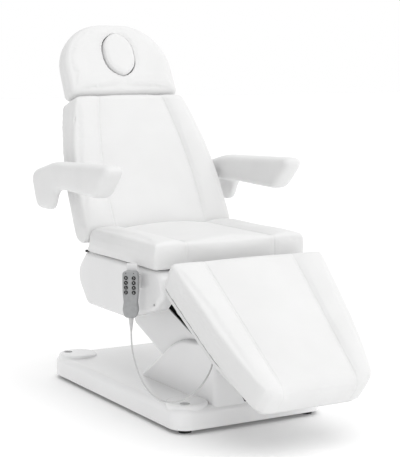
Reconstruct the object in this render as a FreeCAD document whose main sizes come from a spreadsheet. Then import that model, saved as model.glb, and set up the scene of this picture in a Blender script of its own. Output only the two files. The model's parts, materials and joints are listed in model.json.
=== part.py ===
"""Electric beauty treatment chair: base, lift, seat, backrest, legrest, headrest, armrests and handset.

Frame: +Z up from the floor, -Y towards the foot end, +X to the sitter's left. Millimetres.
"""
import FreeCAD, Part
import math
import os

SIZES = [
    ("seat_width", 600, "width of the seat cushion"),
    ("seat_front_y", -219, "front face of the seat"),
    ("seat_rear_y", 297, "rear face of the seat, low down"),
    ("seat_rear_slope", 26, "how far the rear face leans forward at the top"),
    ("seat_bottom_z", 526, "underside of the seat"),
    ("seat_edge_height", 90, "height of the seat cushion at its edge"),
    ("crown", 13, "how far a cushion's centre panel stands above its edge"),
    ("bolster_width", 128, "side panel of a cushion, from its seam to its edge"),
    ("seam_depth", 5, "depth of the valley at a seam"),
    ("edge_radius", 16, "rounding of a cushion's long edges"),
    ("side_tuck", 6, "how far a cushion's side draws in at its foot"),
    ("board_thickness", 15, "plywood of seat, back and headrest"),
    ("board_inset", 16, "distance from a cushion's edge to its board"),
    ("main_shaft_y", 319, "shaft of seat tilt and backrest"),
    ("main_shaft_z", 525, "shaft of seat tilt and backrest"),
    ("shaft_radius", 10, "main, arm and armrest shafts"),
    ("shaft_end_radius", 4.5, "ends of the main shaft over the side covers"),
    ("pin_radius", 8, "link and actuator pins"),
    ("running_fit", 0.05, "radial play of a turning fit"),
    ("soft_gap", 0.3, "gap between parts that slide past each other"),
    ("back_angle", 63, "backrest from level"),
    ("back_front", 74, "front face above the shaft axis"),
    ("back_thickness", 102, "backrest at its edge"),
    ("back_nose_radius", 45, "rounded lower end of the backrest"),
    ("back_nose_centre", 70, "nose centre along the backrest"),
    ("back_top", 593, "upper end along the backrest"),
    ("back_overhang", 10, "how far the backrest is wider than the seat, each side"),
    ("back_top_inset", 80, "how far each side draws in at the top"),
    ("back_flare", 18, "how far each side spreads again at the rear of the top"),
    ("back_bolster", 122, "side panel of the backrest, from its seam to its edge"),
    ("back_seam_inset", 58, "how far each seam draws in at the top"),
    ("leg_angle", 39, "legrest below level"),
    ("leg_hinge_y", -218, "legrest hinge"),
    ("leg_hinge_z", 452, "legrest hinge"),
    ("leg_front", 159, "upper face above the hinge axis"),
    ("leg_thickness", 102, "legrest cushion at its edge"),
    ("leg_board_thickness", 13, "board under the legrest cushion"),
    ("leg_start", 24, "upper end along the legrest"),
    ("leg_length", 549, "length of the legrest"),
    ("leg_taper", 66, "straight draw-in of each side over the length"),
    ("leg_round", 30, "curved draw-in of each side at the foot end"),
    ("leg_round_start", 0.45, "share of the length where the curve begins"),
    ("leg_end_round", 46, "rounding of the foot end"),
    ("leg_seam_inset", 34, "how far each seam draws in at the foot end"),
    ("leg_shaft_radius", 9, "legrest hinge shaft"),
    ("head_bottom", 598, "lower edge of the headrest along the backrest"),
    ("head_height", 310, "height of the headrest"),
    ("head_half_width", 234, "half width of the headrest"),
    ("head_lean", 5, "how far each side of the headrest draws in at the top"),
    ("head_arch", 193, "upper corners of the headrest"),
    ("head_foot", 24, "lower corners of the headrest"),
    ("head_front", 48, "front face of the headrest above the shaft axis"),
    ("head_thickness", 75, "thickness of the headrest"),
    ("face_hole_width", 130, "oval face hole"),
    ("face_hole_height", 184, "oval face hole"),
    ("face_hole_centre", 764, "oval face hole along the backrest"),
    ("plug_gap", 2, "gap round the face plug"),
    ("plug_depth", 68, "depth of the face plug, down to its seat on the board"),
    ("plug_seat", 12, "ledge of the board under the face plug"),
    ("head_rod_x", 90, "headrest rods from the middle"),
    ("head_rod_radius", 7, "headrest rods"),
    ("head_rod_h", -44, "headrest rods from the shaft axis"),
    ("head_rod_low", 400, "lower end of the headrest rods"),
    ("head_hinge", 640, "headrest tilt axis along the backrest"),
    ("guide_low", 330, "lower end of the rod guides"),
    ("guide_high", 540, "upper end of the rod guides"),
    ("guide_wall", 4, "wall of the rod guides"),
    ("arm_pivot", 305, "armrest shaft along the backrest"),
    ("arm_pivot_h", -40.5, "armrest shaft from the main shaft axis"),
    ("armrest_gap", 10, "gap between the backrest's side and an armrest"),
    ("armrest_width", 80, "width of an armrest"),
    ("armrest_round", 21, "rounding of an armrest's edges"),
    ("armrest_bore_depth", 62, "how far the shaft reaches into an armrest"),
    ("armrest_rear", 79, "rear end of an armrest behind its pivot"),
    ("armrest_rear_top", 23, "upper rear corner of an armrest above its pivot"),
    ("armrest_crest", 68, "crest of an armrest above its pivot"),
    ("armrest_crest_place", 108, "crest of an armrest ahead of its pivot"),
    ("armrest_prow", 578, "front end of an armrest ahead of its pivot"),
    ("armrest_prow_top", 85, "front end of an armrest above its pivot"),
    ("armrest_chin", 484, "lower front corner of an armrest ahead of its pivot"),
    ("armrest_under", 28, "underside of an armrest below its pivot"),
    ("armrest_elbow", 135, "bend between bar and root ahead of the pivot"),
    ("armrest_foot", 107, "lower end of the root below the pivot"),
    ("armrest_foot_front", 96, "front of the root ahead of the pivot"),
    ("armrest_foot_rear", 22, "rear of the root behind the pivot"),
    ("armrest_root_width", 38, "width of the root"),
    ("lift_lower_y", -188, "lower pivot of the lift arm"),
    ("lift_lower_z", 190, "lower pivot of the lift arm"),
    ("lift_upper_y", 233, "upper pivot of the lift arm"),
    ("lift_upper_z", 351, "upper pivot of the lift arm"),
    ("link_offset_y", -60, "parallel link from the arm"),
    ("link_offset_z", 40, "parallel link from the arm"),
    ("arm_tube_x", 66, "inner face of an arm tube"),
    ("arm_tube_width", 36, "arm tube"),
    ("arm_tube_height", 60, "arm tube"),
    ("tube_wall", 3, "wall of every steel tube"),
    ("lug_width", 15, "hinge lugs of seat and backrest"),
    ("lever_width", 8, "actuator levers"),
    ("arm_cover_half", 130, "half width of the arm cover"),
    ("arm_cover_depth", 87, "half depth of the arm cover"),
    ("arm_cover_length", 440, "length of the arm cover from the lower pivot"),
    ("cover_wall", 4, "wall of the moulded covers"),
    ("link_x", 44, "inner face of a parallel link"),
    ("link_thickness", 8, "parallel links and lift plates"),
    ("link_width", 36, "parallel links"),
    ("plate_x", 108, "inner face of base brackets and carriage plates"),
    ("base_width", 580, "base cover"),
    ("base_front_y", -363, "base cover"),
    ("base_rear_y", 637, "base cover"),
    ("base_bottom_z", 14, "lower rim of the base cover"),
    ("base_top_z", 85, "top of the base cover"),
    ("base_corner", 60, "corner radius of the base cover"),
    ("base_edge", 24, "rounding of the base cover's top edge"),
    ("hump_half", 150, "half width of the hump over the lift arm"),
    ("hump_top_z", 287, "top of the hump"),
    ("hump_rear_y", 165, "rear foot of the hump"),
    ("slot_half", 136, "half width of the slot for the lift arm"),
    ("slot_front_y", -283, "front end of the slot"),
    ("corner_pad_radius", 72, "raised corners of the base"),
    ("corner_pad_height", 10, "raised corners of the base"),
    ("corner_recess", 17, "radius of the recess over each foot"),
    ("foot_side_inset", 50, "levelling feet from the cover's sides"),
    ("foot_inset", 45, "levelling feet from the cover's ends"),
    ("foot_radius", 22, "levelling feet"),
    ("foot_height", 12, "levelling feet"),
    ("base_tube_width", 50, "base frame tubes"),
    ("base_tube_height", 40, "base frame tubes"),
    ("rail_overhang", 10, "base rails beyond the middle of the feet"),
    ("inlet_x", 130, "low corner of the mains inlet"),
    ("inlet_z", 38, "low corner of the mains inlet"),
    ("inlet_width", 48, "mains inlet"),
    ("inlet_height", 28, "mains inlet"),
    ("pod_inset", 12, "outer face of the side covers from the seat's side"),
    ("pod_depth", 55, "depth of the side covers"),
    ("pod_top_z", 523, "top of the side covers"),
    ("pod_bottom_z", 330, "underside of the side covers"),
    ("pod_wall", 3, "wall of the side covers"),
    ("pod_round", 16, "rounding of the side covers' outer edge"),
    ("frame_tube", 25, "width of seat and back frame tubes"),
    ("seat_tube_x", 135, "inner face of the seat frame tubes"),
    ("seat_tube_height", 30, "seat frame tubes"),
    ("back_tube_x", 205, "inner face of the back frame tubes"),
    ("back_rail_low", 62, "lower end of the back frame tubes along the backrest"),
    ("leg_tube_x", 170, "inner face of the leg frame tubes"),
    ("leg_tube_height", 20, "leg frame tubes"),
    ("lever_x", 189, "inner face of the actuator levers"),
    ("actuator_x", 207, "middle of the side actuators"),
    ("motor_width", 46, "actuator gear housings"),
    ("motor_length", 90, "actuator gear housings"),
    ("motor_start", 14, "gear housing from its rear pin"),
    ("tilt_pin_y", 100, "rear pin of the tilt actuator"),
    ("tilt_pin_z", 440, "rear pin of the tilt actuator"),
    ("tilt_lever", 95, "lever of the tilt actuator"),
    ("back_pin_y", 100, "rear pin of the backrest actuator"),
    ("back_pin_z", 460, "rear pin of the backrest actuator"),
    ("back_lever", 70, "lever of the backrest actuator"),
    ("leg_pin_y", 40, "rear pin of the legrest actuator"),
    ("leg_pin_z", 470, "rear pin of the legrest actuator"),
    ("leg_lever", 60, "lever of the legrest actuator"),
    ("actuator_tube_radius", 15, "actuator outer tubes"),
    ("actuator_rod_radius", 8, "actuator rods"),
    ("handset_out", 45, "middle of the handset from the side cover"),
    ("handset_y", -118, "middle of the handset"),
    ("handset_z", 437, "middle of the handset"),
    ("handset_yaw", -44.4, "turn of the handset towards the foot end"),
    ("handset_width", 53, "handset"),
    ("handset_height", 158, "handset"),
    ("handset_depth", 25, "handset"),
    ("handset_wall", 3, "handset shells"),
    ("button_radius", 6.75, "handset buttons"),
    ("button_pitch_x", 27, "spacing of the two button columns"),
    ("button_pitch_z", 16.2, "spacing of the button rows"),
    ("button_top_z", 56, "top button row above the handset's middle"),
    ("button_proud", 1.6, "how far a button stands out"),
    ("cord_diameter", 5.5, "handset cord"),
    ("relief_length", 50, "strain relief of the handset cord"),
    ("relief_radius", 9, "upper end of the strain relief"),
]

doc = FreeCAD.newDocument("treatment_chair")
sheet = doc.addObject("Spreadsheet::Sheet", "sizes")
for row, (alias, value, note) in enumerate(SIZES, start=1):
    sheet.set(f"A{row}", note)
    sheet.set(f"B{row}", str(value))
    sheet.setAlias(f"B{row}", alias)
doc.recompute()


class Values:
    """The sheet's numbers, by alias."""

    def __getattr__(self, alias):
        return float(getattr(sheet, alias))


s = Values()
V = FreeCAD.Vector
X_AXIS = V(1, 0, 0)
NODES = []


def node(label, obj):
    """Give a finished piece its name and put it on the list of pieces."""
    obj.Label = label
    NODES.append(obj)
    return obj


def expression(text):
    """Point every size named in a formula at its cell."""
    words = []
    for word in text.replace("(", " ( ").replace(")", " ) ").split():
        words.append("sizes." + word if word[0].isalpha() else word)
    return " ".join(words)


def bind(obj, **values):
    """Set sizes: a text is a formula of the sheet's sizes, a number is a detail of the piece."""
    for name, value in values.items():
        if isinstance(value, str):
            obj.setExpression(name, expression(value))
        else:
            setattr(obj, name, value)


def turned(y, z, angle=0.0, x=0.0):
    """A placement at a point of the side view, turned about the lateral axis."""
    return FreeCAD.Placement(V(x, y, z), FreeCAD.Rotation(X_AXIS, angle))


LEVEL = FreeCAD.Placement()
BACK = turned(s.main_shaft_y, s.main_shaft_z, s.back_angle)
LEG = turned(s.leg_hinge_y, s.leg_hinge_z, s.leg_angle)
SEAM_X = s.seat_width / 2 - s.bolster_width
BACK_HALF = s.seat_width / 2 + s.back_overhang
ARMREST_INNER = BACK_HALF + s.armrest_gap
POD_OUTER = s.seat_width / 2 - s.pod_inset
POD_INNER = POD_OUTER - s.pod_depth
FOOT_X = s.base_width / 2 - s.foot_side_inset
ARM_RISE = s.lift_upper_z - s.lift_lower_z
ARM_RUN = s.lift_upper_y - s.lift_lower_y
ARM_LENGTH = math.hypot(ARM_RISE, ARM_RUN)
ARM = turned(s.lift_lower_y, s.lift_lower_z, math.degrees(math.atan2(ARM_RISE, ARM_RUN)))


def moved(frame, x, y, z):
    return frame.multiply(FreeCAD.Placement(V(x, y, z), FreeCAD.Rotation()))


def box(corner, sizes, frame=LEVEL):
    """Block with its low corner at a point of a frame and three bound sizes."""
    block = doc.addObject("Part::Box", "block")
    bind(block, Length=sizes[0], Width=sizes[1], Height=sizes[2])
    block.Placement = moved(frame, *corner)
    return block


def lateral_rod(x, y, z, radius, length, frame=LEVEL):
    """Round bar along X from a start point, with bound radius and length."""
    rod = doc.addObject("Part::Cylinder", "rod")
    bind(rod, Radius=radius, Height=length)
    onto_x = FreeCAD.Placement(V(), FreeCAD.Rotation(V(0, 1, 0), 90))
    rod.Placement = moved(frame, x, y, z).multiply(onto_x)
    return rod


def along_rod(x, y, z, radius, length, frame=LEVEL):
    """Round bar along a frame's own Y axis."""
    rod = doc.addObject("Part::Cylinder", "rod")
    bind(rod, Radius=radius, Height=length)
    onto_y = FreeCAD.Placement(V(), FreeCAD.Rotation(X_AXIS, -90))
    rod.Placement = moved(frame, x, y, z).multiply(onto_y)
    return rod


def upright_rod(x, y, z, radius, length):
    rod = doc.addObject("Part::Cylinder", "rod")
    bind(rod, Radius=radius, Height=length)
    rod.Placement = moved(LEVEL, x, y, z)
    return rod


def cut(base, *tools):
    for tool in tools:
        result = doc.addObject("Part::Cut", "cut")
        result.Base = base
        result.Tool = tool
        base = result
    return base


def fuse(*pieces):
    result = doc.addObject("Part::MultiFuse", "joined")
    result.Shapes = list(pieces)
    return result


def group(*pieces):
    """Separate solids that share one name."""
    result = doc.addObject("Part::Compound", "group")
    result.Links = list(pieces)
    return result


def feature(shape, frame=LEVEL):
    piece = doc.addObject("Part::Feature", "form")
    piece.Shape = shape
    piece.Placement = frame
    return piece


def square_tube(corner, sizes, frame, axis):
    """Hollow steel tube; axis is the index of its open direction."""
    inner_corner = [c if i == axis else c + s.tube_wall for i, c in enumerate(corner)]
    inner_sizes = []
    for i, size in enumerate(sizes):
        if i == axis:
            inner_sizes.append(size)
        elif isinstance(size, str):
            inner_sizes.append(size + " - 2 * tube_wall")
        else:
            inner_sizes.append(size - 2 * s.tube_wall)
    return cut(box(corner, sizes, frame), box(inner_corner, inner_sizes, frame))


def outline_curves(corners):
    """Lines and tangent arcs of a closed outline, from corners given as (u, v, radius)."""
    ends = []
    count = len(corners)
    for i, (u, v, radius) in enumerate(corners):
        corner = V(u, v, 0)
        before = (V(*corners[i - 1][:2], 0) - corner).normalize()
        after = (V(*corners[(i + 1) % count][:2], 0) - corner).normalize()
        if radius == 0:
            ends.append((corner, None, corner))
            continue
        half = before.getAngle(after) / 2
        reach = radius / math.tan(half)
        middle = (before + after).normalize() * (radius / math.sin(half) - radius)
        ends.append((corner + before * reach, corner + middle, corner + after * reach))
    curves = []
    for i, (start, middle, end) in enumerate(ends):
        if middle is not None:
            curves.append(Part.Arc(start, middle, end))
        following = ends[(i + 1) % count][0]
        if end.distanceToPoint(following) > 1e-6:
            curves.append(Part.LineSegment(end, following))
    return curves


def outline_face(corners, to_space):
    """Planar face of a rounded outline; to_space maps (u, v) to a point."""
    edges = []
    for curve in outline_curves(corners):
        if isinstance(curve, Part.LineSegment):
            edges.append(Part.LineSegment(to_space(curve.StartPoint), to_space(curve.EndPoint)).toShape())
        else:
            middle = curve.value((curve.FirstParameter + curve.LastParameter) / 2)
            arc = Part.Arc(to_space(curve.StartPoint), to_space(middle), to_space(curve.EndPoint))
            edges.append(arc.toShape())
    return Part.Face(Part.Wire(Part.sortEdges(edges)[0]))


def profile_body(corners, plane, start, length):
    """Body with one sketch of a rounded outline, padded from a start plane by a bound length."""
    body = doc.addObject("PartDesign::Body", "body")
    sketch = body.newObject("Sketcher::SketchObject", "outline")
    support = [f for f in body.Origin.OriginFeatures if f.Role == plane][0]
    sketch.AttachmentSupport = [(support, "")]
    sketch.MapMode = "FlatFace"
    sketch.AttachmentOffset = FreeCAD.Placement(V(0, 0, start), FreeCAD.Rotation())
    sketch.addGeometry(outline_curves(corners), False)
    pad = body.newObject("PartDesign::Pad", "pad")
    pad.Profile = sketch
    bind(pad, Length=length)
    doc.recompute()
    return body


def round_edges(body, radius, chosen):
    """Fillet the body's edges for which chosen(edge) is true."""
    tip = body.Tip
    names = [f"Edge{i}" for i, edge in enumerate(tip.Shape.Edges, start=1) if chosen(edge)]
    fillet = body.newObject("PartDesign::Fillet", "fillet")
    fillet.Base = (tip, names)
    bind(fillet, Radius=radius)
    doc.recompute()
    return fillet


def hollow(body, wall, open_face):
    """Turn a solid body into a shell that is open at the face for which open_face(face) is true."""
    tip = body.Tip
    names = [f"Face{i}" for i, face in enumerate(tip.Shape.Faces, start=1) if open_face(face)]
    shell = body.newObject("PartDesign::Thickness", "shell")
    shell.Base = (tip, names)
    shell.Reversed = True
    shell.Join = 1
    bind(shell, Value=wall)
    doc.recompute()


def side_plate(corners, x, thickness="link_thickness", frame=LEVEL):
    """Plate in the side view with its low-X face at x."""
    body = profile_body(corners, "YZ_Plane", x, thickness)
    body.Placement = frame
    return body


# Cushions


def cushion_section(half_width, bottom, top, seam, crown, flare, to_space):
    """Closed outline across a cushion: flat foot, drawn-in sides, three crowned panels between seams."""
    corner = min(s.edge_radius, 0.45 * (top - bottom))
    valley = top - min(s.seam_depth * crown / s.crown, 0.3 * (top - bottom))
    foot = half_width - s.side_tuck + flare
    shoulder = half_width - 2
    low = bottom + 0.45 * (top - bottom)
    bend = corner * (1 - math.sqrt(0.5))
    panel = shoulder - corner
    right = [
        ((foot, bottom), (half_width + flare / 2, low), (shoulder, top - corner)),
        ((shoulder, top - corner), (shoulder - bend, top - bend), (panel, top)),
        ((panel, top), ((panel + seam) / 2, top + 0.4 * crown), (seam, valley)),
    ]
    edges = [Part.LineSegment(to_space(-foot, bottom), to_space(foot, bottom)).toShape()]
    for points in right:
        edges.append(Part.Arc(*[to_space(*p) for p in points]).toShape())
    panel_arc = Part.Arc(to_space(seam, valley), to_space(0, top + crown), to_space(-seam, valley))
    edges.append(panel_arc.toShape())
    for points in reversed(right):
        edges.append(Part.Arc(*[to_space(-p[0], p[1]) for p in reversed(points)]).toShape())
    return Part.Wire(edges)


def cushion(stations, direction, flare=lambda along: 0):
    """Loft through stations (along, half width, bottom, top, seam, crown), spread at the foot by flare."""
    wires = []
    for along, half_width, bottom, top, seam, crown in stations:
        wires.append(cushion_section(half_width, bottom, top, seam, crown, flare(along),
                                     lambda x, h, a=along: V(x, direction * a, h)))
    return Part.makeLoft(wires, True, True)


ROUND_STEPS = (0.0, 0.35, 0.7, 1.0)


def rounded_end(end, inward, radius):
    """Places and drops of a rounded end: (place along, drop of the upper face)."""
    result = []
    for step in ROUND_STEPS:
        angle = step * math.pi / 2
        result.append((end + inward * radius * (1 - math.cos(angle)), radius * (1 - math.sin(angle))))
    return result


# Base

BASE_FRAME_TOP = s.base_top_z - s.cover_wall
BASE_FRAME_LOW = BASE_FRAME_TOP - s.base_tube_height
FOOT_FRONT = s.base_front_y + s.foot_inset
FOOT_REAR = s.base_rear_y - s.foot_inset
LINK_LOWER = (s.lift_lower_y + s.link_offset_y, s.lift_lower_z + s.link_offset_z)
LINK_UPPER = (s.lift_upper_y + s.link_offset_y, s.lift_upper_z + s.link_offset_z)
BRACKET_FOOT_FRONT = s.lift_lower_y - 122
BRACKET_FOOT_REAR = s.lift_lower_y + 88


def base_form(inset):
    """Floor plate and hump of the base as one solid, drawn in by the wall on the inside."""
    half = s.base_width / 2 - inset
    corner = s.base_corner - inset
    front = s.base_front_y + inset
    rear = s.base_rear_y - inset
    top = s.base_top_z - inset
    bottom = s.base_bottom_z - (inset > 0)
    plan = [(-half, front, corner), (half, front, corner), (half, rear, corner), (-half, rear, corner)]
    plate = profile_body(plan, "XY_Plane", bottom, top - bottom)
    round_edges(plate, s.base_edge - inset, lambda e: all(abs(v.Z - top) < 1e-6 for v in e.Vertexes))
    crest = s.hump_top_z - inset
    nose = s.base_front_y + 7 + inset
    foot = s.hump_rear_y - inset
    sole = s.base_top_z - 30
    half = s.hump_half - inset
    side = [(nose, sole, 0), (foot, sole, 0), (foot, top, 0), (s.lift_lower_y + 93, crest - 22, 330),
            (nose, crest + 2, 66)]
    hump = profile_body(side, "YZ_Plane", -half, 2 * half)
    round_edges(hump, s.pod_round - inset,
                lambda e: e.CenterOfMass.z > s.base_top_z and abs(abs(e.CenterOfMass.x) - half) < 1e-6)
    return fuse(plate, hump)


def corner_points():
    for x in (-FOOT_X, FOOT_X):
        for y in (FOOT_FRONT, FOOT_REAR):
            yield x, y


def make_base():
    outer = base_form(0.0)
    pads = []
    for x, y in corner_points():
        pad_x = math.copysign(s.base_width / 2 - s.corner_pad_radius - 4, x)
        pad_y = y - math.copysign(33, y)
        foot = V(pad_x, pad_y, s.base_top_z - 20)
        pad = Part.makeCylinder(s.corner_pad_radius, s.corner_pad_height + 20, foot)
        rim = [e for e in pad.Edges if abs(e.CenterOfMass.z - s.base_top_z - s.corner_pad_height) < 1e-6]
        pads.append(feature(pad.makeFillet(0.9 * s.corner_pad_height, rim)))
    recesses = []
    for x, y in corner_points():
        recesses.append(upright_rod(x, y, BASE_FRAME_TOP, "corner_recess", "corner_pad_height + 20"))
    slot_low = s.base_top_z + 4
    slot = box((-s.slot_half, s.slot_front_y, slot_low),
               ("2 * slot_half", "hump_rear_y - slot_front_y", "hump_top_z"))
    inlet_hole = box((s.inlet_x, s.base_rear_y - 30, s.inlet_z), ("inlet_width", 40, "inlet_height"))
    node("base_cover", cut(fuse(outer, *pads), base_form(s.cover_wall), slot, inlet_hole, *recesses))
    socket_sizes = ("inlet_width - 22", 16, "inlet_height - 12")
    inlet = cut(box((s.inlet_x, s.base_rear_y - 26, s.inlet_z), ("inlet_width", 24, "inlet_height")),
                box((s.inlet_x + 11, s.base_rear_y - 16, s.inlet_z + 6), socket_sizes))
    node("mains_inlet", inlet)
    tubes = []
    rail_x = FOOT_X + s.rail_overhang - s.base_tube_width
    rail_length = "base_rear_y - base_front_y - 2 * foot_inset + 18"
    rail_sizes = ("base_tube_width", rail_length, "base_tube_height")
    for x in (-rail_x - s.base_tube_width, rail_x):
        tubes.append(square_tube((x, FOOT_FRONT - 9, BASE_FRAME_LOW), rail_sizes, LEVEL, 1))
    cross_length = "base_width - 2 * ( foot_side_inset + base_tube_width - rail_overhang )"
    cross_sizes = (cross_length, "base_tube_width", "base_tube_height")
    for y in (BRACKET_FOOT_FRONT, BRACKET_FOOT_REAR - s.base_tube_width, FOOT_REAR - s.base_tube_width):
        tubes.append(square_tube((-rail_x, y, BASE_FRAME_LOW), cross_sizes, LEVEL, 0))
    link_y, link_z = LINK_LOWER
    bracket = [(BRACKET_FOOT_FRONT, BASE_FRAME_TOP, 0), (BRACKET_FOOT_REAR, BASE_FRAME_TOP, 0),
               (s.lift_lower_y + 34, s.lift_lower_z + 24, 30), (link_y - 4, link_z + 30, 20),
               (link_y - 26, link_z + 6, 16)]
    for x in (-s.plate_x - s.link_thickness, s.plate_x):
        plate = side_plate(bracket, x)
        arm_hole = lateral_rod(x, s.lift_lower_y, s.lift_lower_z, "shaft_radius", "link_thickness")
        link_hole = lateral_rod(x, link_y, link_z, "pin_radius", "link_thickness")
        tubes.append(cut(plate, arm_hole, link_hole))
    node("base_frame", group(*tubes))
    feet = []
    for x, y in corner_points():
        feet.append(fuse(upright_rod(x, y, 0, "foot_radius", "foot_height"),
                         upright_rod(x, y, s.foot_height, "pin_radius",
                                     "base_top_z - cover_wall - base_tube_height - foot_height")))
    node("leveling_feet", group(*feet))
    half = s.plate_x + s.link_thickness
    across = "2 * ( plate_x + link_thickness )"
    pins = [lateral_rod(-half, s.lift_lower_y, s.lift_lower_z, "shaft_radius", across)]
    for x in (-half, s.link_x - 2):
        pins.append(lateral_rod(x, link_y, link_z, "pin_radius", "plate_x + link_thickness - link_x + 2"))
    node("base_pivot_pins", group(*pins))


# Lift


def make_lift():
    parts = []
    for x in (-s.arm_tube_x - s.arm_tube_width, s.arm_tube_x):
        sizes = ("arm_tube_width", ARM_LENGTH, "arm_tube_height")
        tube = square_tube((x, 0, -s.arm_tube_height / 2), sizes, ARM, 1)
        ends = []
        for y in (0, ARM_LENGTH):
            ends.append(lateral_rod(x, y, 0, "arm_tube_height / 2 + 2", "arm_tube_width", ARM))
        bores = []
        for y in (0, ARM_LENGTH):
            bores.append(lateral_rod(x, y, 0, "shaft_radius + running_fit", "arm_tube_width", ARM))
        parts.append(cut(fuse(tube, *ends), *bores))
    for y in (140, 300):
        parts.append(square_tube((-s.arm_tube_x, y, -s.arm_tube_height / 2),
                                 ("2 * arm_tube_x", 30, 18), ARM, 0))
    boss_length = s.arm_cover_half - s.cover_wall - s.arm_tube_x - s.arm_tube_width
    for x in (-s.arm_cover_half + s.cover_wall, s.arm_tube_x + s.arm_tube_width):
        for y in (120, 270):
            parts.append(lateral_rod(x, y, 0, "pin_radius", boss_length, ARM))
    node("lift_arm_frame", group(*parts))
    depth = s.arm_cover_depth
    side = [(-depth, -depth, depth - 1), (s.arm_cover_length, -depth, 24),
            (s.arm_cover_length, depth, 40), (-depth, depth, depth - 1)]
    shell = side_plate(side, -s.arm_cover_half, "2 * arm_cover_half", ARM)
    inner = s.arm_cover_half - s.cover_wall
    clear_width = "2 * ( arm_cover_half - cover_wall )"
    trough_sizes = (clear_width, "arm_cover_length + 2 * arm_cover_depth", "3 * arm_cover_depth")
    trough = box((-inner, -depth - 5, -depth + s.cover_wall), trough_sizes, ARM)
    foot_sizes = (clear_width, "arm_cover_depth + 115", "arm_cover_depth")
    foot = box((-inner, -depth - 5, -depth - 5), foot_sizes, ARM)
    node("lift_arm_cover", cut(shell, trough, foot))
    bars = []
    frame = turned(*LINK_LOWER, ARM.Rotation.Angle * 180 / math.pi)
    for x in (-s.link_x - s.link_thickness, s.link_x):
        bar = box((x, 0, -s.link_width / 2), ("link_thickness", ARM_LENGTH, "link_width"), frame)
        ends = []
        bores = []
        for y in (0, ARM_LENGTH):
            ends.append(lateral_rod(x, y, 0, "link_width / 2", "link_thickness", frame))
            bores.append(lateral_rod(x, y, 0, "pin_radius + soft_gap", "link_thickness", frame))
        bars.append(cut(fuse(bar, *ends), *bores))
    node("lift_links", group(*bars))


# Actuators: a gear housing with its tube swings on a rear pin, a rod with an open eye slides in it


def actuator(name, rear, front, x, width, rear_bore, tube_end, rod_start, eye_play):
    reach = math.hypot(front[0] - rear[0], front[1] - rear[1])
    frame = turned(*rear, math.degrees(math.atan2(front[1] - rear[1], front[0] - rear[0])))
    half = width / 2
    bore_start = 50
    housing = profile_body([(s.motor_start, -half, 6), (s.motor_start + s.motor_length, -half + 4, 6),
                            (s.motor_start + s.motor_length, half - 4, 6), (s.motor_start, half, 6)],
                           "YZ_Plane", x - half, width)
    housing.Placement = frame
    tube = along_rod(x, s.motor_start + s.motor_length, 0, "actuator_tube_radius",
                     tube_end - s.motor_start - s.motor_length, frame)
    eye = lateral_rod(x - half, 0, 0, "shaft_radius + pin_radius", width, frame)
    rear_hole = lateral_rod(x - half, 0, 0, rear_bore, "2 * motor_width", frame)
    bore = along_rod(x, bore_start, 0, "actuator_rod_radius + soft_gap", "2 * seat_width", frame)
    node(name + "_motor", cut(fuse(housing, tube, eye), rear_hole, bore))
    eye_radius = s.pin_radius - 2 + eye_play
    rod = along_rod(x, rod_start, 0, "actuator_rod_radius", reach - eye_radius - 2 - rod_start, frame)
    outer = Part.makeCylinder(eye_radius + 6, 12, V(x - 6, reach, 0), X_AXIS)
    inner = Part.makeCylinder(eye_radius, 12, V(x - 6, reach, 0), X_AXIS)
    node(name + "_rod", cut(fuse(rod, feature(outer, frame)), feature(inner, frame)))


def polar(centre, radius, degrees):
    angle = math.radians(degrees)
    return centre[0] + radius * math.cos(angle), centre[1] + radius * math.sin(angle)


MAIN_SHAFT = (s.main_shaft_y, s.main_shaft_z)
LEG_HINGE = (s.leg_hinge_y, s.leg_hinge_z)
LIFT_ROD_PIN = (s.lift_upper_y - 40, s.lift_upper_z + 90)
TILT_LEVER_ANGLE = 290
BACK_LEVER_ANGLE = 320
LEG_LEVER_ANGLE = 270
TILT_REAR_PIN = (s.tilt_pin_y, s.tilt_pin_z)
TILT_ROD_PIN = polar(MAIN_SHAFT, s.tilt_lever, TILT_LEVER_ANGLE)
BACK_REAR_PIN = (s.back_pin_y, s.back_pin_z)
BACK_ROD_PIN = polar(MAIN_SHAFT, s.back_lever, BACK_LEVER_ANGLE)
LEG_REAR_PIN = (s.leg_pin_y, s.leg_pin_z)
LEG_ROD_PIN = polar(LEG_HINGE, s.leg_lever, LEG_LEVER_ANGLE)
LIFT_EYE_PLAY = 4.1
TILT_EYE_PLAY = 0.75
BACK_EYE_PLAY = 6.2
LEG_EYE_PLAY = 2.4


def make_actuators():
    arm_pivot = (s.lift_lower_y, s.lift_lower_z)
    on_shaft = "shaft_radius + running_fit"
    on_pin = "pin_radius + running_fit"
    width = s.motor_width
    actuator("lift", arm_pivot, LIFT_ROD_PIN, 0, 56, on_shaft, 380, 62, LIFT_EYE_PLAY)
    actuator("tilt", TILT_REAR_PIN, TILT_ROD_PIN, -s.actuator_x, width, on_pin, 190, 100, TILT_EYE_PLAY)
    actuator("back", BACK_REAR_PIN, BACK_ROD_PIN, s.actuator_x, width, on_pin, 180, 130, BACK_EYE_PLAY)
    actuator("leg", LEG_REAR_PIN, LEG_ROD_PIN, 0, 40, on_pin, 215, 60, LEG_EYE_PLAY)


# Carriage

STRUTS = ((-188, 414), (262, 362))
COVER_SCREW = (-198, 408)
FRONT_BAR_Y = 70
FRONT_BAR_Z = 455


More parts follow.
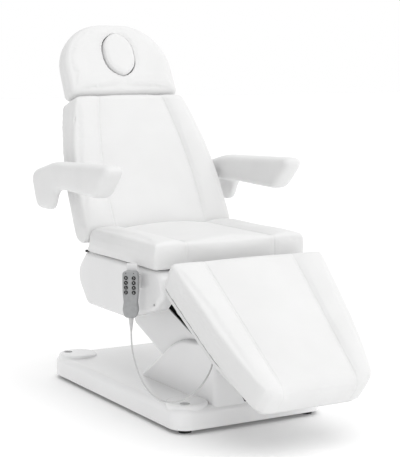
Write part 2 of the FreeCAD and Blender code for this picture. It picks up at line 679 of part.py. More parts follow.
def make_carriage():
    plate = [(-213, 382, 10), (-187, 382, 10), (-168, 425, 14), (130, 425, 30), (150, 372, 14),
             (205, 320, 24), (262, 320, 24), (345, 465, 10), (345, 530, 10), (332, 545, 10),
             (306, 545, 8), (303, 516, 6), (288, 492, 0), (-203, 492, 0), (-203, 440, 0)]
    parts = []
    for x in (-s.plate_x - s.link_thickness, s.plate_x):
        holes = [lateral_rod(x, *MAIN_SHAFT, "shaft_radius", "link_thickness"),
                 lateral_rod(x, s.lift_upper_y, s.lift_upper_z, "shaft_radius", "link_thickness"),
                 lateral_rod(x, *LINK_UPPER, "pin_radius", "link_thickness"),
                 lateral_rod(x, *LIFT_ROD_PIN, "pin_radius - 2", "link_thickness")]
        parts.append(cut(side_plate(plate, x), *holes))
    bar_sizes = ("2 * plate_x", "frame_tube", "seat_tube_height")
    for y, z in ((FRONT_BAR_Y, FRONT_BAR_Z), (308, 440)):
        parts.append(square_tube((-s.plate_x, y, z), bar_sizes, LEVEL, 0))
    reach = "seat_width / 2 - pod_inset - pod_wall - plate_x - link_thickness"
    for y, z in STRUTS:
        for x in (-POD_OUTER + s.pod_wall, s.plate_x + s.link_thickness):
            parts.append(lateral_rod(x, y, z, "pin_radius + 1", reach))
    tilt_pin_x = -s.actuator_x - s.motor_width / 2
    tilt_pin_length = "actuator_x + motor_width / 2 - plate_x - link_thickness"
    parts.append(lateral_rod(tilt_pin_x, *TILT_REAR_PIN, "pin_radius", tilt_pin_length))
    node("carriage_frame", group(*parts))
    inner_half = POD_INNER - s.pod_wall
    thick_length = "seat_width - 2 * ( pod_inset + pod_depth + pod_wall )"
    thick = lateral_rod(-inner_half, *MAIN_SHAFT, "shaft_radius", thick_length)
    thin = lateral_rod(-POD_OUTER - 2, *MAIN_SHAFT, "shaft_end_radius", "seat_width - 2 * pod_inset + 4")
    node("main_shaft", fuse(thick, thin))
    half = s.plate_x + s.link_thickness
    across = "2 * ( plate_x + link_thickness )"
    pins = [lateral_rod(-half, s.lift_upper_y, s.lift_upper_z, "shaft_radius", across),
            lateral_rod(-half, *LIFT_ROD_PIN, "pin_radius - 2", across)]
    for x in (-half, s.link_x - 2):
        pins.append(lateral_rod(x, *LINK_UPPER, "pin_radius", "plate_x + link_thickness - link_x + 2"))
    node("carriage_pins", group(*pins))
    buffers = []
    for x in (-s.plate_x - s.link_thickness / 2, s.plate_x + s.link_thickness / 2):
        buffers.append(upright_rod(x, -188, 492, "pin_radius", "seat_bottom_z - seat_tube_height - 492"))
    node("seat_buffers", group(*buffers))
    make_side_covers()
    make_control_box()


def make_side_covers():
    top = s.pod_top_z
    low = s.pod_bottom_z
    corners = [(326, top, 20), (416, 436, 62), (321, low, 40), (15, low, 160), (-190, 386, 80),
               (-262, 446, 34), (-243, 502, 30), (-200, top, 24)]
    notch_length = "4 * pod_depth"
    for name, outward in (("side_cover_left", -1), ("side_cover_right", 1)):
        start = outward * POD_OUTER
        inner_x = outward * POD_INNER
        body = profile_body(corners, "YZ_Plane", min(start, inner_x), "pod_depth")
        round_edges(body, "pod_round", lambda e: all(abs(v.X - start) < 1e-6 for v in e.Vertexes))
        hollow(body, "pod_wall",
               lambda f: f.BoundBox.XLength < 1e-6 and abs(f.CenterOfMass.x - inner_x) < 1e-6)
        notch = lateral_rod(min(start, inner_x) - 2, *MAIN_SHAFT, "shaft_end_radius + soft_gap", notch_length)
        hole = lateral_rod(start - 2 * s.pod_wall, *COVER_SCREW, "pin_radius / 2", "4 * pod_wall")
        node(name, cut(body, notch, hole))
    screws = []
    for x in (-POD_OUTER - 1.5, POD_OUTER - s.pod_wall):
        screws.append(lateral_rod(x, *COVER_SCREW, "pin_radius / 2", "pod_wall + 1.5"))
    node("cover_screws", group(*screws))


GROMMET = (-150, -100)
BOX_BOTTOM = 402


def make_control_box():
    x = -186
    outline = [(-165, BOX_BOTTOM, 8), (-35, BOX_BOTTOM, 8), (-35, 470, 8), (-165, 470, 8)]
    node("control_box", profile_body(outline, "YZ_Plane", x, -s.plate_x - s.link_thickness - x))
    grommet = Part.makeCone(6, 8, 8, V(*GROMMET, BOX_BOTTOM - 8))
    node("cable_grommet", feature(grommet))


# Seat


def make_seat():
    half = s.seat_width / 2
    bottom = s.seat_bottom_z
    top = bottom + s.seat_edge_height
    stations = []
    for place, drop in rounded_end(s.seat_front_y, 1, s.edge_radius):
        crown = s.crown * (0.2 if drop > 1 else 1)
        stations.append((place, half - 0.15 * drop, bottom, top - drop, SEAM_X, crown))
    middle = (s.seat_front_y + s.seat_rear_y) / 2
    stations.append((middle, half - 3, bottom, top, SEAM_X, s.crown))
    lean = s.seat_rear_slope
    rear = s.seat_rear_y
    stations += [(rear - lean - 24, half, bottom, top, SEAM_X, s.crown),
                 (rear - lean - 6, half - 1, bottom, top - 6, SEAM_X, 0.6 * s.crown),
                 (rear - lean + 4, half - 2, bottom, top - 20, SEAM_X, 0.5 * s.crown),
                 (rear - lean / 2, half - 3, bottom, top - 46, SEAM_X, 2),
                 (rear, half - 4, bottom, top - 68, SEAM_X, 1)]
    inset = s.board_inset
    side = half - inset
    front_edge = s.seat_front_y + inset
    rear_edge = rear - inset
    plan = [(-side, front_edge, 20), (side, front_edge, 20), (side, rear_edge, 20), (-side, rear_edge, 20)]
    board = profile_body(plan, "XY_Plane", bottom, "board_thickness")
    node("seat_board", board)
    node("seat_cushion", feature(cushion(stations, 1).cut(board.Shape)))
    make_seat_frame(bottom - s.seat_tube_height)


def make_seat_frame(low):
    front = s.seat_front_y + 14
    rear = 290
    parts = []
    tube = s.frame_tube
    for x in (-s.seat_tube_x - tube, s.seat_tube_x):
        side_sizes = ("frame_tube", rear - front, "seat_tube_height")
        parts.append(square_tube((x, front, low), side_sizes, LEVEL, 1))
    cross_sizes = ("2 * seat_tube_x", "frame_tube", "seat_tube_height")
    for y in (front, LEG_REAR_PIN[0] - 12, rear - tube):
        parts.append(square_tube((-s.seat_tube_x, y, low), cross_sizes, LEVEL, 0))
    hinge_y, hinge_z = LEG_HINGE
    front_lug = [(hinge_y - 14, hinge_z - 14, 13), (hinge_y + 14, hinge_z - 14, 13),
                 (hinge_y + 60, low, 0), (front, low, 0), (hinge_y - 14, low - 14, 8)]
    shaft_y, shaft_z = MAIN_SHAFT
    rear_lug = [(rear, low, 0), (shaft_y + 8, low, 12), (shaft_y + 20, shaft_z + 5, 10),
                (shaft_y + 4, shaft_z + 20, 12), (shaft_y - 20, shaft_z + 16, 10),
                (shaft_y - 20, s.seat_bottom_z, 4), (rear, s.seat_bottom_z, 0)]
    on_shaft = "shaft_radius + running_fit"
    lug_x = s.seat_tube_x + 5
    for x in (-lug_x - s.lug_width, lug_x):
        lug = side_plate(front_lug, x, "lug_width")
        parts.append(cut(lug, lateral_rod(x, *LEG_HINGE, "leg_shaft_radius", "2 * frame_tube")))
        lug = side_plate(rear_lug, x, "lug_width")
        parts.append(cut(lug, lateral_rod(x, *MAIN_SHAFT, on_shaft, "2 * frame_tube")))
    lever_outer = s.lever_x + s.lever_width
    sleeve_length = lever_outer - lug_x - s.lug_width
    sleeve = lateral_rod(-lever_outer, *MAIN_SHAFT, "2 * shaft_radius - 2", sleeve_length)
    lever = side_plate(lever_outline(MAIN_SHAFT, TILT_ROD_PIN, 17, 14), -lever_outer, "lever_width")
    pin = lateral_rod(-s.actuator_x - 8, *TILT_ROD_PIN, "pin_radius - 2", s.actuator_x + 8 - s.lever_x)
    bore = lateral_rod(-lever_outer - 1, *MAIN_SHAFT, on_shaft, "2 * motor_width")
    parts.append(cut(fuse(lever, sleeve, pin), bore))
    pin_y, pin_z = BACK_REAR_PIN
    hanger = [(pin_y - 14, pin_z - 14, 12), (pin_y + 14, pin_z - 14, 12), (pin_y + 20, low + 20, 4),
              (pin_y - 20, low + 20, 4)]
    hanger_x = s.seat_tube_x + tube
    stub = lateral_rod(hanger_x, pin_y, pin_z, "pin_radius", s.actuator_x + s.motor_width / 2 - hanger_x)
    parts.append(fuse(side_plate(hanger, hanger_x, 5), stub))
    pin_y, pin_z = LEG_REAR_PIN
    ear = [(pin_y - 13, pin_z - 13, 12), (pin_y + 13, pin_z - 13, 12),
           (pin_y + 13, low, 0), (pin_y - 12, low, 0)]
    ears = [side_plate(ear, x, 5) for x in (-27, 22)]
    parts.append(fuse(*ears, lateral_rod(-27, pin_y, pin_z, "pin_radius", 54)))
    node("seat_frame", group(*parts))
    shaft_half = s.leg_tube_x + s.frame_tube
    shaft_length = "2 * ( leg_tube_x + frame_tube )"
    node("leg_shaft", lateral_rod(-shaft_half, *LEG_HINGE, "leg_shaft_radius", shaft_length))


def lever_outline(start, end, start_radius, end_radius):
    """Four-cornered outline of a lever between two pins, rounded at both ends."""
    along = V(end[0] - start[0], end[1] - start[1], 0).normalize()
    across = V(-along.y, along.x, 0)
    corners = []
    for point, radius, out in ((start, start_radius, -1), (end, end_radius, 1)):
        for side in (out, -out):
            p = V(point[0], point[1], 0) + along * (out * radius) + across * (side * radius)
            corners.append((p.x, p.y, 0.9 * radius))
    return corners


# Backrest


BACK_TAPER_START = 130
NOSE_FULLNESS = 0.6


def back_share(along):
    """How far along its drawn-in length a place of the back is, from 0 to 1."""
    return max(0.0, (along - BACK_TAPER_START) / (s.back_top - BACK_TAPER_START))


def back_half_width(along):
    """The back is widest low down and draws in on a curve towards its top."""
    return BACK_HALF - s.back_top_inset * back_share(along) ** 2


def back_seam(along):
    return BACK_HALF - s.back_bolster - s.back_seam_inset * back_share(along) ** 2


def back_flare(along):
    return s.back_flare * back_share(along) ** 2


def make_back():
    front = s.back_front
    rear = front - s.back_thickness
    radius = s.back_nose_radius
    centre = s.back_nose_centre
    nose_h = front - radius
    stations = []
    for step in (14, 40, 65, 90):
        angle = math.radians(step)
        along = centre - radius * math.cos(angle)
        reach = radius * math.sin(angle)
        crown = 0.6 * s.crown * math.sin(angle) ** 2
        half = back_half_width(along) - 10 * math.cos(angle)
        low = nose_h - (nose_h - rear) * math.sin(angle) ** NOSE_FULLNESS
        stations.append((along, half, low, nose_h + reach, back_seam(along), crown))
    for along in (centre + 40, 260, 390, 500):
        stations.append((along, back_half_width(along), rear, front, back_seam(along), s.crown))
    for place, drop in reversed(rounded_end(s.back_top, -1, s.edge_radius + 8)):
        half = back_half_width(place) - 0.8 * drop
        crown = s.crown if drop < 1 else 0.5 * s.crown
        stations.append((place, half, rear + 0.3 * drop, front - drop, back_seam(place), crown))
    board_low = centre + 30
    board_high = s.back_top - 30
    corners = [(-back_half_width(board_low) + s.board_inset, board_low, 24),
               (back_half_width(board_low) - s.board_inset, board_low, 24),
               (back_half_width(330) - s.board_inset, 330, 400),
               (back_half_width(board_high) - s.board_inset, board_high, 24),
               (-back_half_width(board_high) + s.board_inset, board_high, 24),
               (-back_half_width(330) + s.board_inset, 330, 400)]
    board = profile_body(corners, "XY_Plane", rear, "board_thickness")
    flat_board = board.Shape.copy()
    board.Placement = BACK
    node("back_board", board)
    node("back_cushion", feature(cushion(stations, 1, back_flare).cut(flat_board), BACK))
    make_back_frame(rear)


def make_back_frame(rear):
    tube = s.frame_tube
    low = rear - tube
    parts = []
    for x in (-s.back_tube_x - tube, s.back_tube_x):
        rail_sizes = ("frame_tube", "back_top - 100", "frame_tube")
        rail = square_tube((x, s.back_rail_low, low), rail_sizes, BACK, 1)
        hole = lateral_rod(x, s.arm_pivot, s.arm_pivot_h, "shaft_radius", "frame_tube", BACK)
        parts.append(cut(rail, hole))
    cross_sizes = ("2 * back_tube_x", "frame_tube", "frame_tube")
    parts.append(square_tube((-s.back_tube_x, 120, low), cross_sizes, BACK, 0))
    for y in (s.guide_low, s.guide_high - 40):
        bar_height = "0 - head_rod_h - head_rod_radius - guide_wall - back_thickness + back_front"
        parts.append(box((-s.back_tube_x, y, s.head_rod_h + s.head_rod_radius + s.guide_wall),
                         ("2 * back_tube_x", 40, bar_height), BACK))
    lug = [(-2, -20, 0), (s.back_rail_low, low, 0), (s.back_rail_low, rear - 0.3, 0), (30, rear + 2, 0),
           (16, -4, 0), (-2, 19, 0)]
    lug_x = s.back_tube_x + 5
    lugs = []
    for x in (-lug_x - s.lug_width, lug_x):
        hub = lateral_rod(x, 0, 0, "2 * shaft_radius", "lug_width", BACK)
        lugs.append(fuse(side_plate(lug, x, "lug_width", BACK), hub))
    on_shaft = "shaft_radius + running_fit"
    parts.append(cut(lugs[0], lateral_rod(-2 * lug_x, 0, 0, on_shaft, "2 * back_tube_x", BACK)))
    pin = polar((0, 0), s.back_lever, BACK_LEVER_ANGLE - s.back_angle)
    lever = side_plate(lever_outline((0, 0), pin, 18, 14), s.lever_x, "lever_width", BACK)
    sleeve = lateral_rod(s.lever_x, 0, 0, "2 * shaft_radius - 2", lug_x - s.lever_x, BACK)
    stub = lateral_rod(s.lever_x, *pin, "pin_radius - 2", s.actuator_x + 8 - s.lever_x, BACK)
    bore = lateral_rod(s.lever_x - 1, 0, 0, on_shaft, "2 * motor_width", BACK)
    parts.append(cut(fuse(lugs[1], lever, sleeve, stub), bore))
    node("back_frame", group(*parts))
    reach = ARMREST_INNER + s.armrest_bore_depth
    across = "seat_width + 2 * ( back_overhang + armrest_gap + armrest_bore_depth )"
    shaft = lateral_rod(-reach, s.arm_pivot, s.arm_pivot_h, "shaft_radius", across, BACK)
    node("armrest_shaft", shaft)
    guides = []
    for x in (-s.head_rod_x, s.head_rod_x):
        length = "guide_high - guide_low"
        outer = along_rod(x, s.guide_low, s.head_rod_h, "head_rod_radius + guide_wall", length, BACK)
        bore = along_rod(x, s.guide_low, s.head_rod_h, "head_rod_radius + running_fit", length, BACK)
        guides.append(cut(outer, bore))
    node("headrest_guides", group(*guides))


# Legrest


def leg_half_width(along):
    share = along / s.leg_length
    curve = max(0.0, (share - s.leg_round_start) / (1 - s.leg_round_start))
    return s.seat_width / 2 - s.leg_taper * share - s.leg_round * curve ** 2


def make_leg():
    top = s.leg_front
    bottom = top - s.leg_thickness
    end = s.leg_start + s.leg_length
    stations = []
    for place, drop in rounded_end(s.leg_start, 1, s.edge_radius):
        half = leg_half_width(place - s.leg_start) - 0.3 * drop
        crown = s.crown * (0.2 if drop > 1 else 1)
        stations.append((place, half, bottom, top - drop, SEAM_X, crown))
    for share in (0.25, 0.5, 0.72, 0.86):
        along = share * s.leg_length
        stations.append((s.leg_start + along, leg_half_width(along), bottom, top,
                         SEAM_X - s.leg_seam_inset * share, s.crown))
    for place, drop in reversed(rounded_end(end, -1, s.leg_end_round)):
        half = leg_half_width(place - s.leg_start) - drop
        seam = min(SEAM_X - s.leg_seam_inset, 0.75 * half)
        crown = s.crown if drop < 1 else 0.5 * s.crown
        stations.append((place, half, bottom, top - 0.8 * drop, seam, crown))
    node("leg_cushion", feature(cushion(stations, -1), LEG))
    inset = s.board_inset / 3
    mid = 0.6 * s.leg_length
    low_half = leg_half_width(0) - inset
    mid_half = leg_half_width(mid) - inset
    end_half = leg_half_width(s.leg_length - s.leg_end_round / 2) - 28
    corners = [(-low_half, -s.leg_start - inset, 14), (low_half, -s.leg_start - inset, 14),
               (mid_half, -s.leg_start - mid, 300), (end_half, -end + 10, 40),
               (-end_half, -end + 10, 40), (-mid_half, -s.leg_start - mid, 300)]
    board = profile_body(corners, "XY_Plane", bottom - s.leg_board_thickness, "leg_board_thickness")
    board.Placement = LEG
    node("leg_board", board)
    make_leg_frame(bottom - s.leg_board_thickness)


def make_leg_frame(top):
    tube = s.frame_tube
    low = top - s.leg_tube_height
    parts = []
    rail_start = 30
    rail_length = 400
    hub_end = -rail_start - 60
    hub = [(16, -16, 15), (16, 8, 10), (-rail_start, top, 0), (hub_end, top, 0), (hub_end, low, 0),
           (-16, -16, 15)]
    on_shaft = "leg_shaft_radius + running_fit"
    for x in (-s.leg_tube_x - tube, s.leg_tube_x):
        rail_sizes = ("frame_tube", rail_length, "leg_tube_height")
        parts.append(square_tube((x, hub_end - rail_length, low), rail_sizes, LEG, 1))
        plate = side_plate(hub, x, "frame_tube", LEG)
        parts.append(cut(plate, lateral_rod(x, 0, 0, on_shaft, "frame_tube", LEG)))
    cross_sizes = ("2 * leg_tube_x", "frame_tube", "leg_tube_height")
    for y in (hub_end - 30 - tube, -rail_start - rail_length):
        parts.append(square_tube((-s.leg_tube_x, y, low), cross_sizes, LEG, 0))
    pin = polar((0, 0), s.leg_lever, LEG_LEVER_ANGLE - s.leg_angle)
    lever = [(pin[0] + 13, pin[1] - 13, 12), (pin[0] + 13, pin[1] + 16, 12), (hub_end, top, 0),
             (hub_end - 30, top, 0), (hub_end - 30, low, 0), (pin[0] - 13, pin[1] - 13, 12)]
    plates = [side_plate(lever, x, 6, LEG) for x in (-14, 8)]
    parts.append(fuse(*plates, lateral_rod(-14, *pin, "pin_radius - 2", 28, LEG)))
    node("leg_frame", group(*parts))


# Headrest


def head_outline(inset):
    """Arch of the headrest in its own plane: (x, along) with corner radii, drawn in by inset."""
    half = s.head_half_width - inset
    low = s.head_bottom + inset
    high = s.head_bottom + s.head_height - inset
    top_half = half - s.head_lean
    foot = max(s.head_foot - inset, 6)
    arch = s.head_arch - inset
    return [(-half, low, foot), (half, low, foot), (top_half, high, arch), (-top_half, high, arch)]


def head_wire(inset, h):
    face = outline_face(head_outline(inset), lambda p: V(p.x, p.y, h))
    return face.OuterWire


def oval(width, height, h):
    """Oval of four arcs round the face hole's centre."""
    a = width / 2
    b = height / 2
    side = a * math.sqrt(0.5)
    rise = b * math.sqrt(0.5)
    centre = s.face_hole_centre
    points = [(a, 0), (side, rise), (0, b), (-side, rise), (-a, 0), (-side, -rise), (0, -b), (side, -rise),
              (a, 0)]
    spots = [V(x, centre + y, h) for x, y in points]
    arcs = [Part.Arc(spots[i], spots[i + 1], spots[i + 2]) for i in (0, 2, 4, 6)]
    return Part.Wire([arc.toShape() for arc in arcs])


def make_headrest():
    front = s.head_front
    rear = front - s.head_thickness
    layers = [(9, rear), (1, rear + 16), (0, rear + 40), (2, front - 26), (8, front - 9), (18, front),
              (50, front + 7), (75, front + 9)]
    solid = Part.makeLoft([head_wire(inset, h) for inset, h in layers], True, True)
    hole = Part.Face(oval(s.face_hole_width, s.face_hole_height, rear - 20)).extrude(V(0, 0, 200))
    ledge = 2 * s.plug_seat
    board_hole = Part.Face(oval(s.face_hole_width - ledge, s.face_hole_height - ledge, rear - 20))
    board_outline = head_outline(s.board_inset)
    board = outline_face(board_outline, lambda p: V(p.x, p.y, rear)).extrude(V(0, 0, s.board_thickness))
    node("headrest_cushion", feature(solid.cut(hole).cut(board), BACK))
    node("headrest_board", feature(board.cut(board_hole.extrude(V(0, 0, 200))), BACK))
    play = 2 * s.plug_gap
    plug_front = front + 8
    wires = []
    for shrink, below in ((0, s.plug_depth), (0, 12), (8, 3), (34, 0)):
        width = s.face_hole_width - play - shrink
        height = s.face_hole_height - play - shrink
        wires.append(oval(width, height, plug_front - below))
    node("face_plug", feature(Part.makeLoft(wires, True, True), BACK))
    make_headrest_rods(rear)


def make_headrest_rods(rear):
    rods = []
    for x in (-s.head_rod_x, s.head_rod_x):
        length = "head_hinge - head_rod_low"
        rods.append(along_rod(x, s.head_rod_low, s.head_rod_h, "head_rod_radius", length, BACK))
    tube = lateral_rod(-s.head_rod_x - 12, s.head_hinge, s.head_rod_h, "head_rod_radius + 1",
                       "2 * head_rod_x + 24", BACK)
    node("headrest_rods", fuse(*rods, tube))
    knuckles = []
    inner = s.head_rod_x - 44
    leaf_low = s.head_rod_h + 12
    for x in (-inner - 30, inner):
        leaf = box((x, s.head_hinge - 12, leaf_low), (30, 60, rear - leaf_low), BACK)
        barrel = lateral_rod(x, s.head_hinge, s.head_rod_h, "head_rod_radius + 6", 30, BACK)
        bore = lateral_rod(x, s.head_hinge, s.head_rod_h, "head_rod_radius + 1 + running_fit", 30, BACK)
        knuckles.append(cut(fuse(leaf, barrel), bore))
    node("headrest_bracket", group(*knuckles))


# Armrests


def armrest_outline():
    """Side view of an armrest round its pivot: bar with an undercut prow, and a root that reaches down."""
    return [(s.armrest_rear, s.armrest_rear_top, 38), (-s.armrest_crest_place, s.armrest_crest, 220),
            (-s.armrest_prow, s.armrest_prow_top, 20), (-s.armrest_chin, -s.armrest_under - 5, 44),
            (-s.armrest_elbow, -s.armrest_under + 4, 60), (-s.armrest_foot_front, -s.armrest_foot, 28),
            (s.armrest_foot_rear, -s.armrest_foot - 2, 26)]


def make_armrests():
    pivot = BACK.multVec(V(0, s.arm_pivot, s.arm_pivot_h))
    inner = ARMREST_INNER
    bore_length = "armrest_bore_depth + 5.3"
    relief_low = pivot.z - s.armrest_foot - 20
    relief_sizes = ("armrest_width - armrest_root_width", "armrest_elbow + armrest_rear + 80",
                    "armrest_foot + 24 - armrest_under")
    for name, outward in (("armrest_left", -1), ("armrest_right", 1)):
        start = inner if outward > 0 else -inner - s.armrest_width
        body = profile_body(armrest_outline(), "YZ_Plane", start, "armrest_width")
        faces = (start, start + s.armrest_width)
        round_edges(body, "armrest_round",
                    lambda e: any(all(abs(v.X - x) < 1e-6 for v in e.Vertexes) for x in faces))
        body.Placement = turned(pivot.y, pivot.z)
        bore_start = inner - 5 if outward > 0 else -inner - s.armrest_bore_depth - 0.3
        bore = lateral_rod(bore_start, pivot.y, pivot.z, "shaft_radius + running_fit", bore_length)
        relief_x = inner if outward > 0 else s.armrest_root_width - s.armrest_width - inner
        relief = box((relief_x, pivot.y - s.armrest_elbow - 60, relief_low), relief_sizes)
        node(name, cut(body, relief, bore))


# Handset

HANDSET_X = -POD_OUTER - s.handset_out
HANDSET_TURN = FreeCAD.Rotation(V(0, 0, 1), s.handset_yaw)
HANDSET = FreeCAD.Placement(V(HANDSET_X, s.handset_y, s.handset_z), HANDSET_TURN)
RELIEF_LOW = s.handset_z - s.handset_height / 2 - s.relief_length


def handset_outline(inset):
    """Front view of the handset: wide at the keys, a waist, and a rounded grip."""
    half = s.handset_width / 2 - inset
    tall = s.handset_height / 2 - inset
    right = [(half, tall, 12 - inset), (half, 0.12 * tall, 60), (half - 4, -0.34 * tall, 50),
             (half, -0.66 * tall, 30), (half - 7, -tall, 14 - inset)]
    return right + [(-u, v, radius) for u, v, radius in reversed(right)]


def handset_solid(inset, start, depth):
    """Extrusion of the outline from start, backwards by depth, in the handset's own frame."""
    face = outline_face(handset_outline(inset), lambda p: V(p.x, start, p.y))
    return face.extrude(V(0, depth, 0))


def button_places():
    for row in range(4):
        for column in (-0.5, 0.5):
            yield column * s.button_pitch_x, s.button_top_z - row * s.button_pitch_z


def make_handset():
    half = s.handset_depth / 2
    wall = s.handset_wall
    front = handset_solid(0, -half, half)
    rim = [e for e in front.Edges if abs(e.CenterOfMass.y + half) < 1e-6]
    front = front.makeFillet(2.5, rim).cut(handset_solid(wall, -half + wall, half))
    well = s.button_radius + 0.25
    for x, z in button_places():
        front = front.cut(Part.makeCylinder(well, 2 * wall, V(x, -half - 1, z), V(0, 1, 0)))
    node("handset_front", feature(front, HANDSET))
    back = handset_solid(0, 0, half)
    rim = [e for e in back.Edges if abs(e.CenterOfMass.y - half) < 1e-6]
    back = back.makeFillet(6, rim).cut(handset_solid(wall, -1, half - wall + 1))
    outlet = Part.makeCylinder(s.cord_diameter / 2, 20, V(0, 0, -s.handset_height / 2 - 5))
    node("handset_back", feature(back.cut(outlet), HANDSET))
    for number, (x, z) in enumerate(button_places(), start=1):
        face = -half - s.button_proud
        key = Part.makeCylinder(s.button_radius, s.button_proud + wall + 2, V(x, face, z), V(0, 1, 0))
        rim = [e for e in key.Edges if abs(e.CenterOfMass.y - face) < 1e-6]
        node(f"button_{number}", feature(key.makeFillet(0.6, rim), HANDSET))
    relief = Part.makeCone(s.cord_diameter / 2, s.relief_radius, s.relief_length,
                           V(HANDSET_X, s.handset_y, RELIEF_LOW))
    node("handset_strain_relief", feature(relief))
    plate = box((-18, half, -10), (36, 4, 112), HANDSET)
    anchor = HANDSET.multVec(V(0, half + 2, 0))
    block = box((anchor.x, anchor.y, 452), (-POD_OUTER - anchor.x, 22, 46))
    node("handset_holder", fuse(plate, block))


# Cord: straight runs joined by tangent arcs, from the strain relief down, forward and up to the grommet

CORD_ROUTE = [
    (HANDSET_X, s.handset_y, RELIEF_LOW), (HANDSET_X, s.handset_y, RELIEF_LOW - 34),
    (-334, -130, 238), (-335, -152, 204), (-335, -182, 168), (-331, -220, 136), (-321, -264, 113),
    (-302, -308, 104), (-272, -346, 112), (-240, -374, 138), (-208, -388, 176), (-180, -390, 222),
    (-164, -376, 264), (-154, -346, 302), (-148, -300, 328), (-147, -250, 340), (-148, -200, 344),
    (-149, -152, 344), (-150, -114, 350), (*GROMMET, 366), (*GROMMET, BOX_BOTTOM - 8),
]


def cord_path(points):
    """Wire of runs and arcs, each arc as large as its two runs allow, with the arcs' radii."""
    edges = []
    radii = []
    start = points[0]
    for before, corner, after in zip(points, points[1:], points[2:]):
        towards = (before - corner).normalize()
        onwards = (after - corner).normalize()
        reach = 0.45 * min(corner.distanceToPoint(before), corner.distanceToPoint(after))
        turn = math.pi - towards.getAngle(onwards)
        radius = reach / math.tan(turn / 2)
        bisector = (towards + onwards).normalize()
        middle = corner + bisector * (radius / math.cos(turn / 2) - radius)
        edges.append(Part.LineSegment(start, corner + towards * reach).toShape())
        edges.append(Part.Arc(corner + towards * reach, middle, corner + onwards * reach).toShape())
        start = corner + onwards * reach
        radii.append(radius)
    edges.append(Part.LineSegment(start, points[-1]).toShape())
    return Part.Wire(edges), radii


def make_cord():
    points = [V(*p) for p in CORD_ROUTE]
    path, radii = cord_path(points)
    section = Part.Wire(Part.makeCircle(s.cord_diameter / 2, points[0], points[1] - points[0]))
    tube = path.makePipeShell([section], True, False)
    area = math.pi * (s.cord_diameter / 2) ** 2
    share = tube.Volume / (area * path.Length)
    print("cord length", round(path.Length, 1), "volume share", round(share, 4))
    print("cord radii", [round(radius) for radius in radii])
    node("handset_cord", feature(tube))


make_base()
make_lift()
make_actuators()
make_carriage()
make_seat()
make_back()
make_leg()
make_headrest()
make_armrests()
make_handset()
make_cord()
doc.recompute()

faults = [o.Label for o in doc.Objects if "Invalid" in o.State or "Error" in o.State]
faults += [o.Label for o in NODES if o.Shape.isNull() or not o.Shape.isValid() or not o.Shape.Solids]
if faults:
    raise RuntimeError("failed: " + ", ".join(faults))
os.makedirs("parts", exist_ok=True)
for piece in NODES:
    piece.Shape.exportStep(f"parts/{piece.Label}.step")
print(len(NODES), "pieces written")
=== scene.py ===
"""Looks of the treatment chair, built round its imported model. Metres, in the model's own frame."""

import json
import math

import bmesh
import bpy
import numpy as np
from mathutils import Matrix, Vector, noise
from mathutils.bvhtree import BVHTree


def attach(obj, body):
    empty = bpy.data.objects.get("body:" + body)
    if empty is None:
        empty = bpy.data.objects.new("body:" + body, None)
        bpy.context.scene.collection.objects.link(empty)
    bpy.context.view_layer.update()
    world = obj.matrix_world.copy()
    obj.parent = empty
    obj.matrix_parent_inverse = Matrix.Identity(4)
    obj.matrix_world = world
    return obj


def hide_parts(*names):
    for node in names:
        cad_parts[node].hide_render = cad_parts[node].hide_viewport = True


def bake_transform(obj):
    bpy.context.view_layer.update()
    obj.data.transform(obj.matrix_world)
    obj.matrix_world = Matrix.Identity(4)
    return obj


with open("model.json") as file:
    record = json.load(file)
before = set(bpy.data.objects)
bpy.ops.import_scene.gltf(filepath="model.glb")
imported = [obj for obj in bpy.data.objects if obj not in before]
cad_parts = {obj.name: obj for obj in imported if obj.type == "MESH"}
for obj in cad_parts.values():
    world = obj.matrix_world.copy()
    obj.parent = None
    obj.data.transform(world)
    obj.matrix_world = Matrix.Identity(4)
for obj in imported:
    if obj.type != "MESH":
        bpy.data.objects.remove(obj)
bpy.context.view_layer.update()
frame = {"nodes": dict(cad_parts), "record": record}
NODES = frame["nodes"]
SCENE = bpy.context.scene

# Where the three upholstered sections lie: origin of each section's own frame and its slope
BACK_FRAME = Matrix.Translation((0, 0.319, 0.525)) @ Matrix.Rotation(math.radians(63), 4, "X")
LEG_FRAME = Matrix.Translation((0, -0.218, 0.452)) @ Matrix.Rotation(math.radians(39), 4, "X")
SEAT_FRAME = Matrix.Identity(4)
HANDSET_FRAME = Matrix.Translation((-0.333, -0.118, 0.437)) @ Matrix.Rotation(math.radians(-44.4), 4, "Z")

# The handset cord's route, the same points as in the model's source
CORD_ROUTE = [
    (-0.333, -0.118, 0.308), (-0.333, -0.118, 0.274), (-0.334, -0.130, 0.238), (-0.335, -0.152, 0.204),
    (-0.335, -0.182, 0.168), (-0.331, -0.220, 0.136), (-0.321, -0.264, 0.113), (-0.302, -0.308, 0.104),
    (-0.272, -0.346, 0.112), (-0.240, -0.374, 0.138), (-0.208, -0.388, 0.176), (-0.180, -0.390, 0.222),
    (-0.164, -0.376, 0.264), (-0.154, -0.346, 0.302), (-0.148, -0.300, 0.328), (-0.147, -0.250, 0.340),
    (-0.148, -0.200, 0.344), (-0.149, -0.152, 0.344), (-0.150, -0.114, 0.350), (-0.150, -0.100, 0.366),
    (-0.150, -0.100, 0.394),
]
CORD_DIAMETER = 0.0055


# Camera, light and floor

# The photograph's camera, fitted to the chair: its place, its direction, and its lens on its sensor in millimetres
CAMERA_PLACE = (-2.39693, -4.11298, 1.23329)
CAMERA_AZIMUTH = math.radians(-30.2613)
CAMERA_ELEVATION = math.radians(7.2997)
SENSOR_HEIGHT = 36
CAMERA_LENS = 107.42

LIGHT_SPREAD = 60
ROOM_LEFT, ROOM_RIGHT = 0.60, 1.0
WHITE = (1, 1, 1, 1)
FLOOR_REACH = 30
FLOOR_DROP = 0.0005


